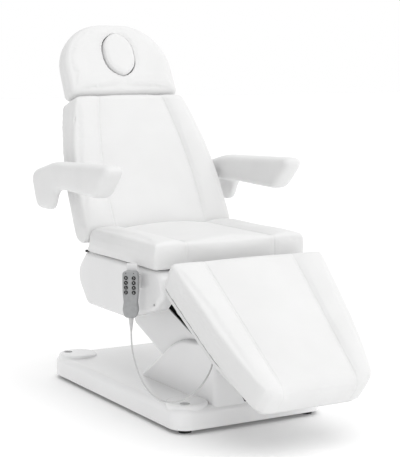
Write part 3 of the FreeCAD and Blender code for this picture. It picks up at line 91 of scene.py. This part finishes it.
def make_camera():
    level = math.cos(CAMERA_ELEVATION)
    back = Vector((math.sin(CAMERA_AZIMUTH) * level, -math.cos(CAMERA_AZIMUTH) * level, math.sin(CAMERA_ELEVATION)))
    right = Vector((math.cos(CAMERA_AZIMUTH), math.sin(CAMERA_AZIMUTH), 0))
    up = back.cross(right)
    data = bpy.data.cameras.new("camera")
    data.sensor_fit = "VERTICAL"
    data.sensor_height = SENSOR_HEIGHT
    data.lens = CAMERA_LENS
    camera = bpy.data.objects.new("camera", data)
    SCENE.collection.objects.link(camera)
    turn = Matrix((right, up, back)).transposed().to_4x4()
    camera.matrix_world = Matrix.Translation(CAMERA_PLACE) @ turn
    SCENE.camera = camera


def soft_sun(name, towards, power):
    """A wide sun that stands in the direction given."""
    data = bpy.data.lights.new(name, "SUN")
    data.energy = power
    data.angle = math.radians(LIGHT_SPREAD)
    light = bpy.data.objects.new(name, data)
    SCENE.collection.objects.link(light)
    light.rotation_euler = (-Vector(towards)).to_track_quat("-Z", "Y").to_euler()


def make_studio():
    """White paper where the camera looks, a room dimmer on its left that lights the chair, two soft suns, a floor."""
    world = bpy.data.worlds.new("studio")
    SCENE.world = world
    world.use_nodes = True
    tree = world.node_tree
    room = tree.nodes["Background"]
    room.inputs["Color"].default_value = WHITE
    direction = tree.nodes.new("ShaderNodeTexCoord").outputs["Generated"]
    split = tree.nodes.new("ShaderNodeSeparateXYZ")
    strength = tree.nodes.new("ShaderNodeMapRange")
    strength.inputs["From Min"].default_value = -0.8
    strength.inputs["From Max"].default_value = 0.1
    strength.inputs["To Min"].default_value = ROOM_LEFT
    strength.inputs["To Max"].default_value = ROOM_RIGHT
    tree.links.new(direction, split.inputs["Vector"])
    tree.links.new(split.outputs["X"], strength.inputs["Value"])
    tree.links.new(strength.outputs["Result"], room.inputs["Strength"])
    paper = tree.nodes.new("ShaderNodeBackground")
    paper.inputs["Color"].default_value = WHITE
    seen = tree.nodes.new("ShaderNodeLightPath")
    either = tree.nodes.new("ShaderNodeMixShader")
    tree.links.new(seen.outputs["Is Camera Ray"], either.inputs[0])
    tree.links.new(room.outputs[0], either.inputs[1])
    tree.links.new(paper.outputs[0], either.inputs[2])
    tree.links.new(either.outputs[0], tree.nodes["World Output"].inputs["Surface"])
    soft_sun("top_light", towards=(0.0, -0.30, 0.95), power=0.75)
    soft_sun("front_light", towards=(0.30, -0.90, 0.30), power=0.25)
    SCENE.view_settings.view_transform = "Standard"
    make_floor()


def make_floor():
    mesh = bpy.data.meshes.new("floor")
    corners = [(FLOOR_REACH * x, FLOOR_REACH * y, 0) for x, y in ((-1, -1), (1, -1), (1, 1), (-1, 1))]
    mesh.from_pydata(corners, [], [(0, 1, 2, 3)])
    floor = bpy.data.objects.new("floor", mesh)
    SCENE.collection.objects.link(floor)
    floor.location.z = -FLOOR_DROP
    paint = bpy.data.materials.new("floor_pale")
    paint.use_nodes = True
    shader = paint.node_tree.nodes["Principled BSDF"]
    shader.inputs["Base Color"].default_value = (0.97, 0.97, 0.97, 1)
    shader.inputs["Emission Color"].default_value = WHITE
    shader.inputs["Emission Strength"].default_value = 0.08
    shader.inputs["Roughness"].default_value = 0.7
    mesh.materials.append(paint)


# Materials: every one has its colour broken up and a bump at the real scale, and all but the backing cloth their
# roughness too


class Paint:
    """A principled material being wired up."""

    def __init__(self, name, roughness, metallic=0.0, specular=0.5):
        self.material = bpy.data.materials.new(name)
        self.material.use_nodes = True
        self.tree = self.material.node_tree
        self.shader = self.tree.nodes["Principled BSDF"]
        self.shader.inputs["Metallic"].default_value = metallic
        self.shader.inputs["Roughness"].default_value = roughness
        self.shader.inputs["Specular IOR Level"].default_value = specular
        self.coordinates = self.tree.nodes.new("ShaderNodeTexCoord").outputs["Object"]
        self.height = None

    def stretched(self, scale):
        mapping = self.tree.nodes.new("ShaderNodeMapping")
        mapping.inputs["Scale"].default_value = scale
        self.tree.links.new(self.coordinates, mapping.inputs["Vector"])
        return mapping.outputs["Vector"]

    def noise(self, scale, detail=3.0, stretch=None):
        node = self.tree.nodes.new("ShaderNodeTexNoise")
        node.inputs["Scale"].default_value = scale
        node.inputs["Detail"].default_value = detail
        self.tree.links.new(self.stretched(stretch) if stretch else self.coordinates, node.inputs["Vector"])
        return node.outputs["Fac"]

    def cells(self, scale):
        node = self.tree.nodes.new("ShaderNodeTexVoronoi")
        node.feature = "SMOOTH_F1"
        node.inputs["Scale"].default_value = scale
        self.tree.links.new(self.coordinates, node.inputs["Vector"])
        return node.outputs["Distance"]

    def waves(self, scale, direction):
        node = self.tree.nodes.new("ShaderNodeTexWave")
        node.bands_direction = direction
        node.inputs["Scale"].default_value = scale
        node.inputs["Distortion"].default_value = 0.6
        self.tree.links.new(self.coordinates, node.inputs["Vector"])
        return node.outputs["Fac"]

    def colour(self, factor, low, high):
        ramp = self.tree.nodes.new("ShaderNodeValToRGB")
        first, last = ramp.color_ramp.elements
        first.position, last.position = 0.3, 0.7
        first.color, last.color = (*low, 1), (*high, 1)
        self.tree.links.new(factor, ramp.inputs["Fac"])
        self.tree.links.new(ramp.outputs["Color"], self.shader.inputs["Base Color"])
        return self

    def rough(self, factor, low, high):
        spread = self.tree.nodes.new("ShaderNodeMapRange")
        spread.inputs["To Min"].default_value = low
        spread.inputs["To Max"].default_value = high
        self.tree.links.new(factor, spread.inputs["Value"])
        self.tree.links.new(spread.outputs["Result"], self.shader.inputs["Roughness"])
        return self

    def bump(self, factor, distance, strength):
        node = self.tree.nodes.new("ShaderNodeBump")
        node.inputs["Distance"].default_value = distance
        node.inputs["Strength"].default_value = strength
        self.tree.links.new(factor, node.inputs["Height"])
        if self.height is not None:
            self.tree.links.new(self.height, node.inputs["Normal"])
        self.height = node.outputs["Normal"]
        self.tree.links.new(self.height, self.shader.inputs["Normal"])
        return self


def upholstery():
    paint = Paint("artificial_leather", 0.46, specular=0.35)
    paint.colour(paint.noise(6, 4), (0.745, 0.745, 0.743), (0.775, 0.775, 0.774))
    paint.rough(paint.noise(40, 4), 0.40, 0.54)
    paint.bump(paint.noise(14, 2), 0.0012, 0.25)
    paint.bump(paint.cells(620), 0.00022, 0.35)
    paint.bump(paint.noise(1500, 2), 0.0001, 0.25)
    return paint.material


def moulded_skin():
    paint = Paint("moulded_skin", 0.42, specular=0.4)
    paint.colour(paint.noise(9, 3), (0.745, 0.745, 0.745), (0.775, 0.775, 0.774))
    paint.rough(paint.noise(55, 4), 0.36, 0.5)
    paint.bump(paint.noise(900, 3), 0.00015, 0.35)
    return paint.material


def moulded_cover():
    paint = Paint("moulded_cover", 0.24, specular=0.5)
    paint.colour(paint.noise(5, 3), (0.77, 0.77, 0.772), (0.80, 0.80, 0.802))
    paint.rough(paint.noise(30, 3), 0.18, 0.28)
    paint.bump(paint.noise(420, 2), 0.00012, 0.25)
    return paint.material


def glossy_cover_painted_light():
    """The same moulding as the side covers with a finer polish, its colour lightened as painted light against the
    shade under the chair, on the pieces near the floor.
    """
    paint = Paint("polished_cover_painted_light", 0.16, specular=0.5)
    # Painted light: this colour is lighter than the side covers' to offset the shade that falls under the chair
    paint.colour(paint.noise(4, 3), (0.86, 0.86, 0.862), (0.89, 0.89, 0.892))
    paint.rough(paint.noise(24, 3), 0.12, 0.22)
    paint.bump(paint.noise(300, 2), 0.0001, 0.2)
    return paint.material


def backing_cloth():
    paint = Paint("backing_cloth", 0.9, specular=0.2)
    paint.colour(paint.noise(60, 4), (0.70, 0.70, 0.698), (0.745, 0.745, 0.743))
    paint.bump(paint.waves(260, "X"), 0.0003, 0.4)
    paint.bump(paint.waves(260, "Z"), 0.0003, 0.4)
    return paint.material


def black_coat():
    paint = Paint("black_powder_coat", 0.5, specular=0.45)
    paint.colour(paint.noise(25, 5), (0.016, 0.016, 0.018), (0.03, 0.03, 0.032))
    paint.rough(paint.noise(70, 3), 0.42, 0.6)
    paint.bump(paint.noise(800, 3), 0.0002, 0.5)
    return paint.material


def bright_steel():
    paint = Paint("turned_steel", 0.3, metallic=1.0)
    paint.colour(paint.noise(60, 4, (4, 60, 60)), (0.50, 0.50, 0.51), (0.66, 0.66, 0.67))
    paint.rough(paint.noise(220, 4, (3, 40, 40)), 0.2, 0.38)
    paint.bump(paint.noise(600, 3, (2, 30, 30)), 0.00006, 0.4)
    return paint.material


def motor_plastic():
    paint = Paint("motor_plastic", 0.55, specular=0.4)
    paint.colour(paint.noise(35, 4), (0.03, 0.03, 0.032), (0.05, 0.05, 0.053))
    paint.rough(paint.noise(90, 3), 0.48, 0.64)
    paint.bump(paint.noise(1100, 3), 0.00018, 0.6)
    return paint.material


def handset_plastic():
    paint = Paint("handset_plastic", 0.5, specular=0.4)
    paint.colour(paint.noise(80, 4), (0.325, 0.33, 0.335), (0.375, 0.38, 0.385))
    paint.rough(paint.noise(160, 3), 0.44, 0.58)
    paint.bump(paint.noise(1600, 3), 0.00012, 0.5)
    return paint.material


def dark_rubber():
    paint = Paint("dark_rubber", 0.7, specular=0.3)
    paint.colour(paint.noise(120, 4), (0.012, 0.012, 0.012), (0.028, 0.028, 0.028))
    paint.rough(paint.noise(200, 3), 0.6, 0.8)
    paint.bump(paint.noise(1400, 3), 0.0001, 0.5)
    return paint.material


def pale_rubber():
    paint = Paint("pale_rubber", 0.55, specular=0.35)
    paint.colour(paint.noise(90, 4), (0.55, 0.55, 0.55), (0.62, 0.62, 0.62))
    paint.rough(paint.noise(140, 3), 0.48, 0.62)
    paint.bump(paint.noise(1200, 3), 0.0001, 0.4)
    return paint.material


def sewing_thread():
    paint = Paint("sewing_thread", 0.6, specular=0.3)
    paint.colour(paint.noise(300, 3), (0.70, 0.70, 0.698), (0.77, 0.77, 0.768))
    paint.rough(paint.noise(500, 2), 0.5, 0.7)
    paint.bump(paint.noise(4000, 2), 0.0001, 0.4)
    return paint.material


MATERIALS = {
    "white_upholstery": upholstery(),
    "white_skin": moulded_skin(),
    "white_cover": moulded_cover(),
    "board": backing_cloth(),
    "black_steel": black_coat(),
    "bright_steel": bright_steel(),
    "motor_black": motor_plastic(),
    "handset_grey": handset_plastic(),
    "black_rubber": dark_rubber(),
    "pale_rubber": pale_rubber(),
}
THREAD = sewing_thread()


def dress_nodes():
    for entry in frame["record"]["subparts"]:
        mesh = NODES[entry["node"]].data
        mesh.materials.clear()
        mesh.materials.append(MATERIALS[entry["material_slot"]])
    # The base and lift-arm covers get a lightened copy of the cover moulding: painted light against the shade under
    # the chair
    polished_painted_light = glossy_cover_painted_light()
    for node in ("base_cover", "lift_arm_cover"):
        NODES[node].data.materials[0] = polished_painted_light


# Mesh helpers


def shade(mesh, paint, smooth=True):
    mesh.materials.clear()
    mesh.materials.append(paint)
    mesh.polygons.foreach_set("use_smooth", [smooth] * len(mesh.polygons))


def new_piece(name, mesh, paint, body=None, smooth=True):
    piece = bpy.data.objects.new(name, mesh)
    SCENE.collection.objects.link(piece)
    shade(mesh, paint, smooth)
    if body:
        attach(piece, body)
    return piece


def places(mesh):
    flat = np.empty(3 * len(mesh.vertices))
    mesh.vertices.foreach_get("co", flat)
    return flat.reshape(-1, 3)


def put_places(mesh, points):
    mesh.vertices.foreach_set("co", np.ascontiguousarray(points).ravel())
    mesh.update()


def normals(mesh):
    flat = np.empty(3 * len(mesh.vertices))
    mesh.vertex_normals.foreach_get("vector", flat)
    return flat.reshape(-1, 3)


def in_frame(points, own_frame):
    inverse = np.array(own_frame.inverted())
    return points @ inverse[:3, :3].T + inverse[:3, 3]


def to_world(local, own_frame):
    matrix = np.array(own_frame)
    return local @ matrix[:3, :3].T + matrix[:3, 3]


def baked(piece):
    """The piece's mesh with its modifiers applied."""
    depsgraph = bpy.context.evaluated_depsgraph_get()
    return bpy.data.meshes.new_from_object(piece.evaluated_get(depsgraph), depsgraph=depsgraph)


def bake_modifiers(piece):
    mesh = baked(piece)
    piece.modifiers.clear()
    piece.data = mesh


def tube_mesh(name, points, radius, sides=12):
    """Closed tube along points, its rings carried along without twist."""
    points = [Vector(p) for p in points]
    tangents = []
    for i in range(len(points)):
        tangents.append((points[min(i + 1, len(points) - 1)] - points[max(i - 1, 0)]).normalized())
    across = tangents[0].orthogonal().normalized()
    vertices = []
    for point, tangent in zip(points, tangents):
        across = (across - tangent * across.dot(tangent)).normalized()
        other = tangent.cross(across)
        for k in range(sides):
            angle = 2 * math.pi * k / sides
            vertices.append(point + radius * (math.cos(angle) * across + math.sin(angle) * other))
    faces = []
    for i in range(len(points) - 1):
        for k in range(sides):
            j = (k + 1) % sides
            faces.append((i * sides + k, i * sides + j, (i + 1) * sides + j, (i + 1) * sides + k))
    faces.append(tuple(reversed(range(sides))))
    faces.append(tuple(range(len(vertices) - sides, len(vertices))))
    mesh = bpy.data.meshes.new(name)
    mesh.from_pydata(vertices, [], faces)
    return mesh


# Cord


def spline_points(route):
    """Points along the smooth spline that has the route as its control points."""
    curve = bpy.data.curves.new("cord_route", "CURVE")
    curve.dimensions = "3D"
    curve.resolution_u = 6
    spline = curve.splines.new("NURBS")
    spline.points.add(len(route) - 1)
    for point, place in zip(spline.points, route):
        point.co = (*place, 1)
    spline.order_u = 3
    spline.use_endpoint_u = True
    guide = bpy.data.objects.new("cord_route", curve)
    SCENE.collection.objects.link(guide)
    bpy.context.view_layer.update()
    points = [tuple(v.co) for v in baked(guide).vertices]
    bpy.data.objects.remove(guide)
    return points


def make_cord():
    points = spline_points(CORD_ROUTE)
    mesh = tube_mesh("handset_cord", points, CORD_DIAMETER / 2)
    cord = new_piece("cord", mesh, MATERIALS["pale_rubber"])
    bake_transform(cord)
    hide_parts("handset_cord")


# Upholstery

SEAT_SEAM = 0.172

# The cloth simulation that fills the pads, and how far a point may sink in it
FILL_FRAMES = 20
FILL_SINK = 0.0005

# Hem round a pad's foot that is held, and the fade above it; seams start a little higher
HEM = 0.006
HEM_FADE = 0.014
SEAM_START = 0.012
SEAM_HOLD = 0.006

# Sewn seams: the groove, and the puckers that the thread pulls up beside it
GROOVE_WIDTH = 0.0035
GROOVE_DEPTH = 0.0022
PUCKER_REACH = 0.014
PUCKER_DEPTH = 0.0011

STITCH_PITCH = 0.0065
STITCH_LENGTH = 0.0042
STITCH_OFFSET = 0.0048
STITCH_STEP_LIMIT = 0.004
THREAD_SECTION = ((-0.0006, -0.0004), (0.0006, -0.0004), (0.0004, 0.0004), (-0.0004, 0.0004))
ABOVE_PADS = 0.9

# Face size of a pad's skin, how far it is drawn in before it is filled, and how far filling may push it out
LARGE_PAD = {"voxel": 0.006, "shrink": 0.0015, "cap": 0.004}
HEAD_PAD = {"voxel": 0.005, "shrink": 0.001, "cap": 0.003}
PLUG_PAD = {"voxel": 0.004, "shrink": 0.0005, "cap": 0.001}

# Creases of the pads in their own frames: start, end, width, depth
SLIT = ((-0.250, 0.512, 0.073), (-0.256, 0.466, 0.060), 0.0035, 0.006)
LOWER_PLEAT = ((-0.309, 0.058, 0.060), (-0.305, 0.030, 0.020), 0.0045, 0.004)
FRONT_PLEAT = ((-0.309, 0.052, 0.092), (-0.305, 0.024, 0.052), 0.0045, 0.004)
SEAT_CREASE = ((-0.173, -0.130, 0.619), (-0.158, -0.202, 0.604), 0.006, 0.004)


def seat_seam(along):
    return np.full_like(along, SEAT_SEAM)


def back_seam(along):
    share = np.clip((along - 0.130) / 0.463, 0, 1)
    return 0.188 - 0.058 * share ** 2


def leg_seam(along):
    return 0.172 - 0.034 * np.clip((-along - 0.024) / 0.549, 0, 1)


def remeshed(node, voxel):
    """A copy of a node's mesh as an even skin of small faces."""
    piece = bpy.data.objects.new("skin", NODES[node].data.copy())
    SCENE.collection.objects.link(piece)
    modifier = piece.modifiers.new("skin", "REMESH")
    modifier.mode = "VOXEL"
    modifier.voxel_size = voxel
    bake_modifiers(piece)
    return piece


def add_finer(piece):
    modifier = piece.modifiers.new("finer", "SUBSURF")
    modifier.levels = 1
    modifier.render_levels = 1


def stand_for(piece, name, node, body, slot):
    """Paint and name a finished skin, which then takes the place of its node."""
    shade(piece.data, MATERIALS[slot])
    piece.name = name
    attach(piece, body)
    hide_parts(node)


def fill(piece, hold, cap):
    """Blow the skin up like foam under a tight cover; held points stay, and none moves out further than cap."""
    start = places(piece.data)
    group = piece.vertex_groups.new(name="hold")
    for index in np.nonzero(hold > 0.01)[0]:
        group.add([int(index)], float(hold[index]), "REPLACE")
    cloth = piece.modifiers.new("fill", "CLOTH")
    settings = cloth.settings
    settings.quality = 5
    settings.mass = 0.3
    settings.tension_stiffness = 20
    settings.compression_stiffness = 20
    settings.shear_stiffness = 10
    settings.bending_stiffness = 1.0
    settings.use_pressure = True
    settings.uniform_pressure_force = 4
    settings.vertex_group_mass = "hold"
    settings.effector_weights.gravity = 0
    cloth.point_cache.frame_start = 1
    cloth.point_cache.frame_end = FILL_FRAMES
    for step in range(1, FILL_FRAMES + 1):
        SCENE.frame_set(step)
    mesh = baked(piece)
    SCENE.frame_set(1)
    piece.modifiers.clear()
    piece.vertex_groups.clear()
    shift = places(mesh) - start
    outward = normals(piece.data)
    rise = np.sum(shift * outward, axis=1, keepdims=True)
    put_places(piece.data, start + outward * np.clip(rise, -FILL_SINK, cap))


def crisp_leg_end(piece):
    """Square up the rounded upper end of the legrest, and lean it towards the seat."""
    end, round_end, squared, leaning = 0.024, 0.016, 0.75, 0.014
    local = in_frame(places(piece.data), LEG_FRAME)
    along = -local[:, 1]
    height = local[:, 2]
    turn = np.clip((0.040 - along) / round_end, 0, 1)
    drop = round_end * (1 - np.sqrt(1 - turn ** 2))
    lean = np.clip((height - 0.085) / 0.06, 0, 1) * np.clip(1 - (along - end) / 0.07, 0, 1)
    local[:, 2] += squared * drop * np.clip((height - 0.125) / 0.015, 0, 1)
    local[:, 1] += leaning * lean
    put_places(piece.data, to_world(local, LEG_FRAME))


def flatten_seat(piece):
    """The seat's middle panel is flatter than the other pads'."""
    panel_low, panel_rise, sunk = 0.600, 0.014, 0.006
    local = places(piece.data)
    middle = np.clip(1 - (local[:, 0] / SEAT_SEAM) ** 2, 0, 1)
    local[:, 2] -= sunk * (middle * np.clip((local[:, 2] - panel_low) / panel_rise, 0, 1))
    put_places(piece.data, local)


def raise_plug(piece):
    """The face plug stands proud of the headrest: its upper part is drawn out."""
    start, run, proud = 0.015, 0.03, 0.014
    local = in_frame(places(piece.data), BACK_FRAME)
    local[:, 2] += proud * np.clip((local[:, 2] - start) / run, 0, 1)
    put_places(piece.data, to_world(local, BACK_FRAME))


def cushion(name, node, body, own_frame, seam, foot, voxel, shrink, cap, creases=(), reshape=None):
    """Upholstered pad made from a node: filled, then sewn along its seams. foot is its low face's height."""
    piece = remeshed(node, voxel)
    if reshape:
        reshape(piece)
    local = in_frame(places(piece.data), own_frame)
    hold = np.clip(1 - (local[:, 2] - foot - HEM) / HEM_FADE, 0, 1)
    if seam is not None:
        distance = np.abs(np.abs(local[:, 0]) - seam(local[:, 1]))
        on_top = local[:, 2] > foot + SEAM_START
        hold = np.maximum(hold, np.where(on_top, np.clip(1.4 - distance / SEAM_HOLD, 0, 1), 0))
    inset = places(piece.data) - normals(piece.data) * (shrink * (1 - hold))[:, None]
    put_places(piece.data, inset)
    fill(piece, hold, cap)
    add_finer(piece)
    bake_modifiers(piece)
    if seam is not None:
        sew(piece.data, own_frame, seam, foot)
    for crease in creases:
        press(piece.data, own_frame, *crease)
    stand_for(piece, name, node, body, "white_upholstery")
    return piece


def sew(mesh, own_frame, seam, foot):
    """Press the seams in as narrow grooves, with the small puckers that the thread pulls up beside them."""
    points = places(mesh)
    local = in_frame(points, own_frame)
    distance = np.abs(local[:, 0]) - seam(local[:, 1])
    near = np.exp(-(distance / GROOVE_WIDTH) ** 2)
    pull = np.exp(-np.abs(distance) / PUCKER_REACH)
    ripple = np.array([noise.noise((p[0] * 9, p[1] * 55, p[2] * 9)) for p in local])
    depth = GROOVE_DEPTH * near - PUCKER_DEPTH * pull * ripple
    depth *= np.clip((local[:, 2] - foot - 0.008) / 0.01, 0, 1)
    put_places(mesh, points - normals(mesh) * depth[:, None])


def press(mesh, own_frame, start, end, width, depth):
    """Press a short crease into a pad, from start to end in the pad's own frame."""
    points = places(mesh)
    local = in_frame(points, own_frame)
    run = np.subtract(end, start)
    share = np.clip((local - start) @ run / (run @ run), 0, 1)
    gap = np.linalg.norm(local - start - share[:, None] * run, axis=1)
    weight = np.exp(-(gap / width) ** 2) * np.sqrt(np.sin(np.pi * np.clip(share, 0.02, 0.98)))
    put_places(mesh, points - normals(mesh) * (depth * weight)[:, None])


def stitches(name, pad, own_frame, seam, span, body):
    """Two rows of thread beside each seam, laid on the finished pad."""
    mesh = pad.data
    local = in_frame(places(mesh), own_frame)
    faces = [tuple(polygon.vertices) for polygon in mesh.polygons]
    skin = BVHTree.FromPolygons([Vector(p) for p in local], faces)
    vertices = []
    quads = []
    for along in np.arange(span[0], span[1], STITCH_PITCH):
        for side in (-1, 1):
            for row in (-STITCH_OFFSET, STITCH_OFFSET):
                ends = []
                for place in (along, along + STITCH_LENGTH):
                    x = side * (float(seam(np.array([place]))[0]) + row)
                    spot = skin.ray_cast(Vector((x, place, ABOVE_PADS)), Vector((0, 0, -1)))[0]
                    if spot is not None:
                        ends.append(spot)
                if len(ends) < 2 or abs(ends[0].z - ends[1].z) > STITCH_STEP_LIMIT:
                    continue
                first = len(vertices)
                for spot in ends:
                    for wide, high in THREAD_SECTION:
                        vertices.append(own_frame @ (spot + Vector((wide, 0, high))))
                for k in range(4):
                    j = (k + 1) % 4
                    quads.append((first + k, first + j, first + 4 + j, first + 4 + k))
                quads.append((first + 3, first + 2, first + 1, first))
                quads.append((first + 4, first + 5, first + 6, first + 7))
    thread = bpy.data.meshes.new(name)
    thread.from_pydata(vertices, [], quads)
    new_piece(name, thread, THREAD, body)


def make_cushions():
    seat = cushion("seat_pad", "seat_cushion", "seat", SEAT_FRAME, seat_seam, foot=0.526, creases=[SEAT_CREASE],
                   reshape=flatten_seat, **LARGE_PAD)
    back = cushion("back_pad", "back_cushion", "back", BACK_FRAME, back_seam, foot=-0.028,
                   creases=[SLIT, LOWER_PLEAT, FRONT_PLEAT], **LARGE_PAD)
    leg = cushion("leg_pad", "leg_cushion", "leg", LEG_FRAME, leg_seam, foot=0.057, reshape=crisp_leg_end,
                  **LARGE_PAD)
    cushion("head_pad", "headrest_cushion", "headrest", BACK_FRAME, None, foot=-0.027, **HEAD_PAD)
    cushion("plug_pad", "face_plug", "plug", BACK_FRAME, None, foot=-0.012, reshape=raise_plug, **PLUG_PAD)
    stitches("seat_stitches", seat, SEAT_FRAME, seat_seam, (-0.205, 0.255), "seat")
    stitches("back_stitches", back, BACK_FRAME, back_seam, (0.070, 0.575), "back")
    stitches("leg_stitches", leg, LEG_FRAME, leg_seam, (-0.540, -0.035), "leg")


# Armrests

ARMREST_VOXEL = 0.006
# What smoothing takes off the skin all round
ARMREST_REGAIN = 0.0020


def round_prow(piece):
    """The armrest's chin runs back under its front, as a moulded prow does."""
    reach, receding = 0.15, 0.042
    place = places(piece.data)
    near = np.clip((place[:, 1].min() + reach - place[:, 1]) / reach, 0, 1)
    nose = place[near > 0.4]
    top, low = nose[:, 2].max(), nose[:, 2].min()
    depth = np.clip((top - place[:, 2]) / (top - low), 0, 1)
    place[:, 1] += receding * near * depth ** 2
    put_places(piece.data, place)


def make_armrests():
    """Moulded skins over the armrests, with the soft edges of foam in a mould."""
    for name, node, body in (("armrest_skin_left", "armrest_left", "left_armrest"),
                             ("armrest_skin_right", "armrest_right", "right_armrest")):
        piece = remeshed(node, ARMREST_VOXEL)
        round_prow(piece)
        soften = piece.modifiers.new("soften", "SMOOTH")
        soften.factor = 0.5
        soften.iterations = 40
        add_finer(piece)
        bake_modifiers(piece)
        put_places(piece.data, places(piece.data) + ARMREST_REGAIN * normals(piece.data))
        stand_for(piece, name, node, body, "white_skin")


# Lift arm

ARM_FRAME = Matrix.Translation((0, -0.188, 0.190)) @ Matrix.Rotation(math.radians(20.93), 4, "X")
# Section of a lip (across, height), and its stations along the arm with how far the section drops there
LIP_SECTION = [(0.1255, 0.0860), (0.1255, 0.0825), (0.0950, 0.0815), (0.0605, 0.0770), (0.0600, 0.0790),
               (0.0940, 0.0842)]
LIP_STATIONS = ((0.036, 0.0008), (0.040, 0.0), (0.266, 0.0), (0.270, 0.0008))


def make_arm_lips():
    """Black rubber lips that close the top of the lift arm's cover on both sides of the drive."""
    for name, side in (("arm_lip_left", -1), ("arm_lip_right", 1)):
        made = bmesh.new()
        rings = []
        for along, drop in LIP_STATIONS:
            rings.append([made.verts.new(ARM_FRAME @ Vector((side * x, along, h - drop))) for x, h in LIP_SECTION])
        for first, second in zip(rings, rings[1:]):
            for k in range(len(LIP_SECTION)):
                j = (k + 1) % len(LIP_SECTION)
                made.faces.new((first[k], first[j], second[j], second[k]))
        made.faces.new(rings[0])
        made.faces.new(list(reversed(rings[-1])))
        bmesh.ops.recalc_face_normals(made, faces=made.faces)
        mesh = bpy.data.meshes.new(name)
        made.to_mesh(mesh)
        made.free()
        new_piece(name, mesh, MATERIALS["black_rubber"], "lift_arm")


# Handset marks

KEY_FACE = -0.0141
KEY_ROWS = (0.056, 0.0398, 0.0236, 0.0074)
KEY_COLUMNS = (-0.0135, 0.0135)
SIGN_RELIEF = 0.00012
SIGN_DEPTH = 0.0003
LAMP_FACE = -0.0129
LAMP_DEPTH = 0.0008
# Millimetres, as are the signs' strokes
LAMP_RADIUS = 1.7
LAMP_HEIGHT = 72
LAMP_SIDES = 20
ARROW_MIDDLE = 1.9
# One plain sign a row, as strokes in millimetres: back, legs, height, tilt
KEY_SIGNS = (
    [((-3.4, -3.0), (0.2, -3.0)), ((0.2, -3.0), (2.6, 0.2))],
    [((-2.6, -0.4), (0.0, -0.4)), ((0.0, -0.4), (3.2, -3.2))],
    [((-3.2, -2.6), (3.2, -2.6))],
    [((-3.2, -3.2), (3.2, -1.2))],
)


def stroke(start, end, width=0.8):
    """Four corners of a straight stroke."""
    along = (Vector(end) - Vector(start)).normalized()
    side = Vector((-along.y, along.x)) * width / 2
    return [Vector(start) - side, Vector(end) - side, Vector(end) + side, Vector(start) + side]


def raised(name, outlines, front, depth, body, slot):
    """Thin raised shapes on the handset's face, from outlines (x, z) in millimetres."""
    mesh = bpy.data.meshes.new(name)
    made = bmesh.new()
    for outline in outlines:
        rings = []
        for y in (front, front + depth):
            rings.append([made.verts.new(HANDSET_FRAME @ Vector((x / 1000, y, z / 1000))) for x, z in outline])
        made.faces.new(rings[0])
        made.faces.new(list(reversed(rings[1])))
        for i in range(len(outline)):
            j = (i + 1) % len(outline)
            made.faces.new((rings[0][j], rings[0][i], rings[1][i], rings[1][j]))
    bmesh.ops.recalc_face_normals(made, faces=made.faces)
    made.to_mesh(mesh)
    made.free()
    new_piece(name, mesh, MATERIALS[slot], body, smooth=False)


def make_handset_marks():
    number = 0
    for strokes, z in zip(KEY_SIGNS, KEY_ROWS):
        for x, tip in zip(KEY_COLUMNS, (1, -1)):
            number += 1
            tail = ARROW_MIDDLE - 0.9 * tip
            arrow = [(-1.9, tail), (1.9, tail), (0, ARROW_MIDDLE + 1.6 * tip)]
            outlines = [arrow] + [stroke(*ends) for ends in strokes]
            placed = [[(u + 1000 * x, v + 1000 * z) for u, v in outline] for outline in outlines]
            raised(f"key_sign_{number}", placed, KEY_FACE - SIGN_RELIEF, SIGN_DEPTH, f"key_{number}", "pale_rubber")
    lamps = []
    turn = [2 * math.pi * k / LAMP_SIDES for k in range(LAMP_SIDES)]
    for x in KEY_COLUMNS:
        lamps.append([(1000 * x + LAMP_RADIUS * math.cos(a), LAMP_HEIGHT + LAMP_RADIUS * math.sin(a)) for a in turn])
    raised("handset_lamps", lamps, LAMP_FACE, LAMP_DEPTH, "handset", "black_rubber")


make_camera()
make_studio()
dress_nodes()
make_cord()
make_cushions()
make_armrests()
make_arm_lips()
make_handset_marks()
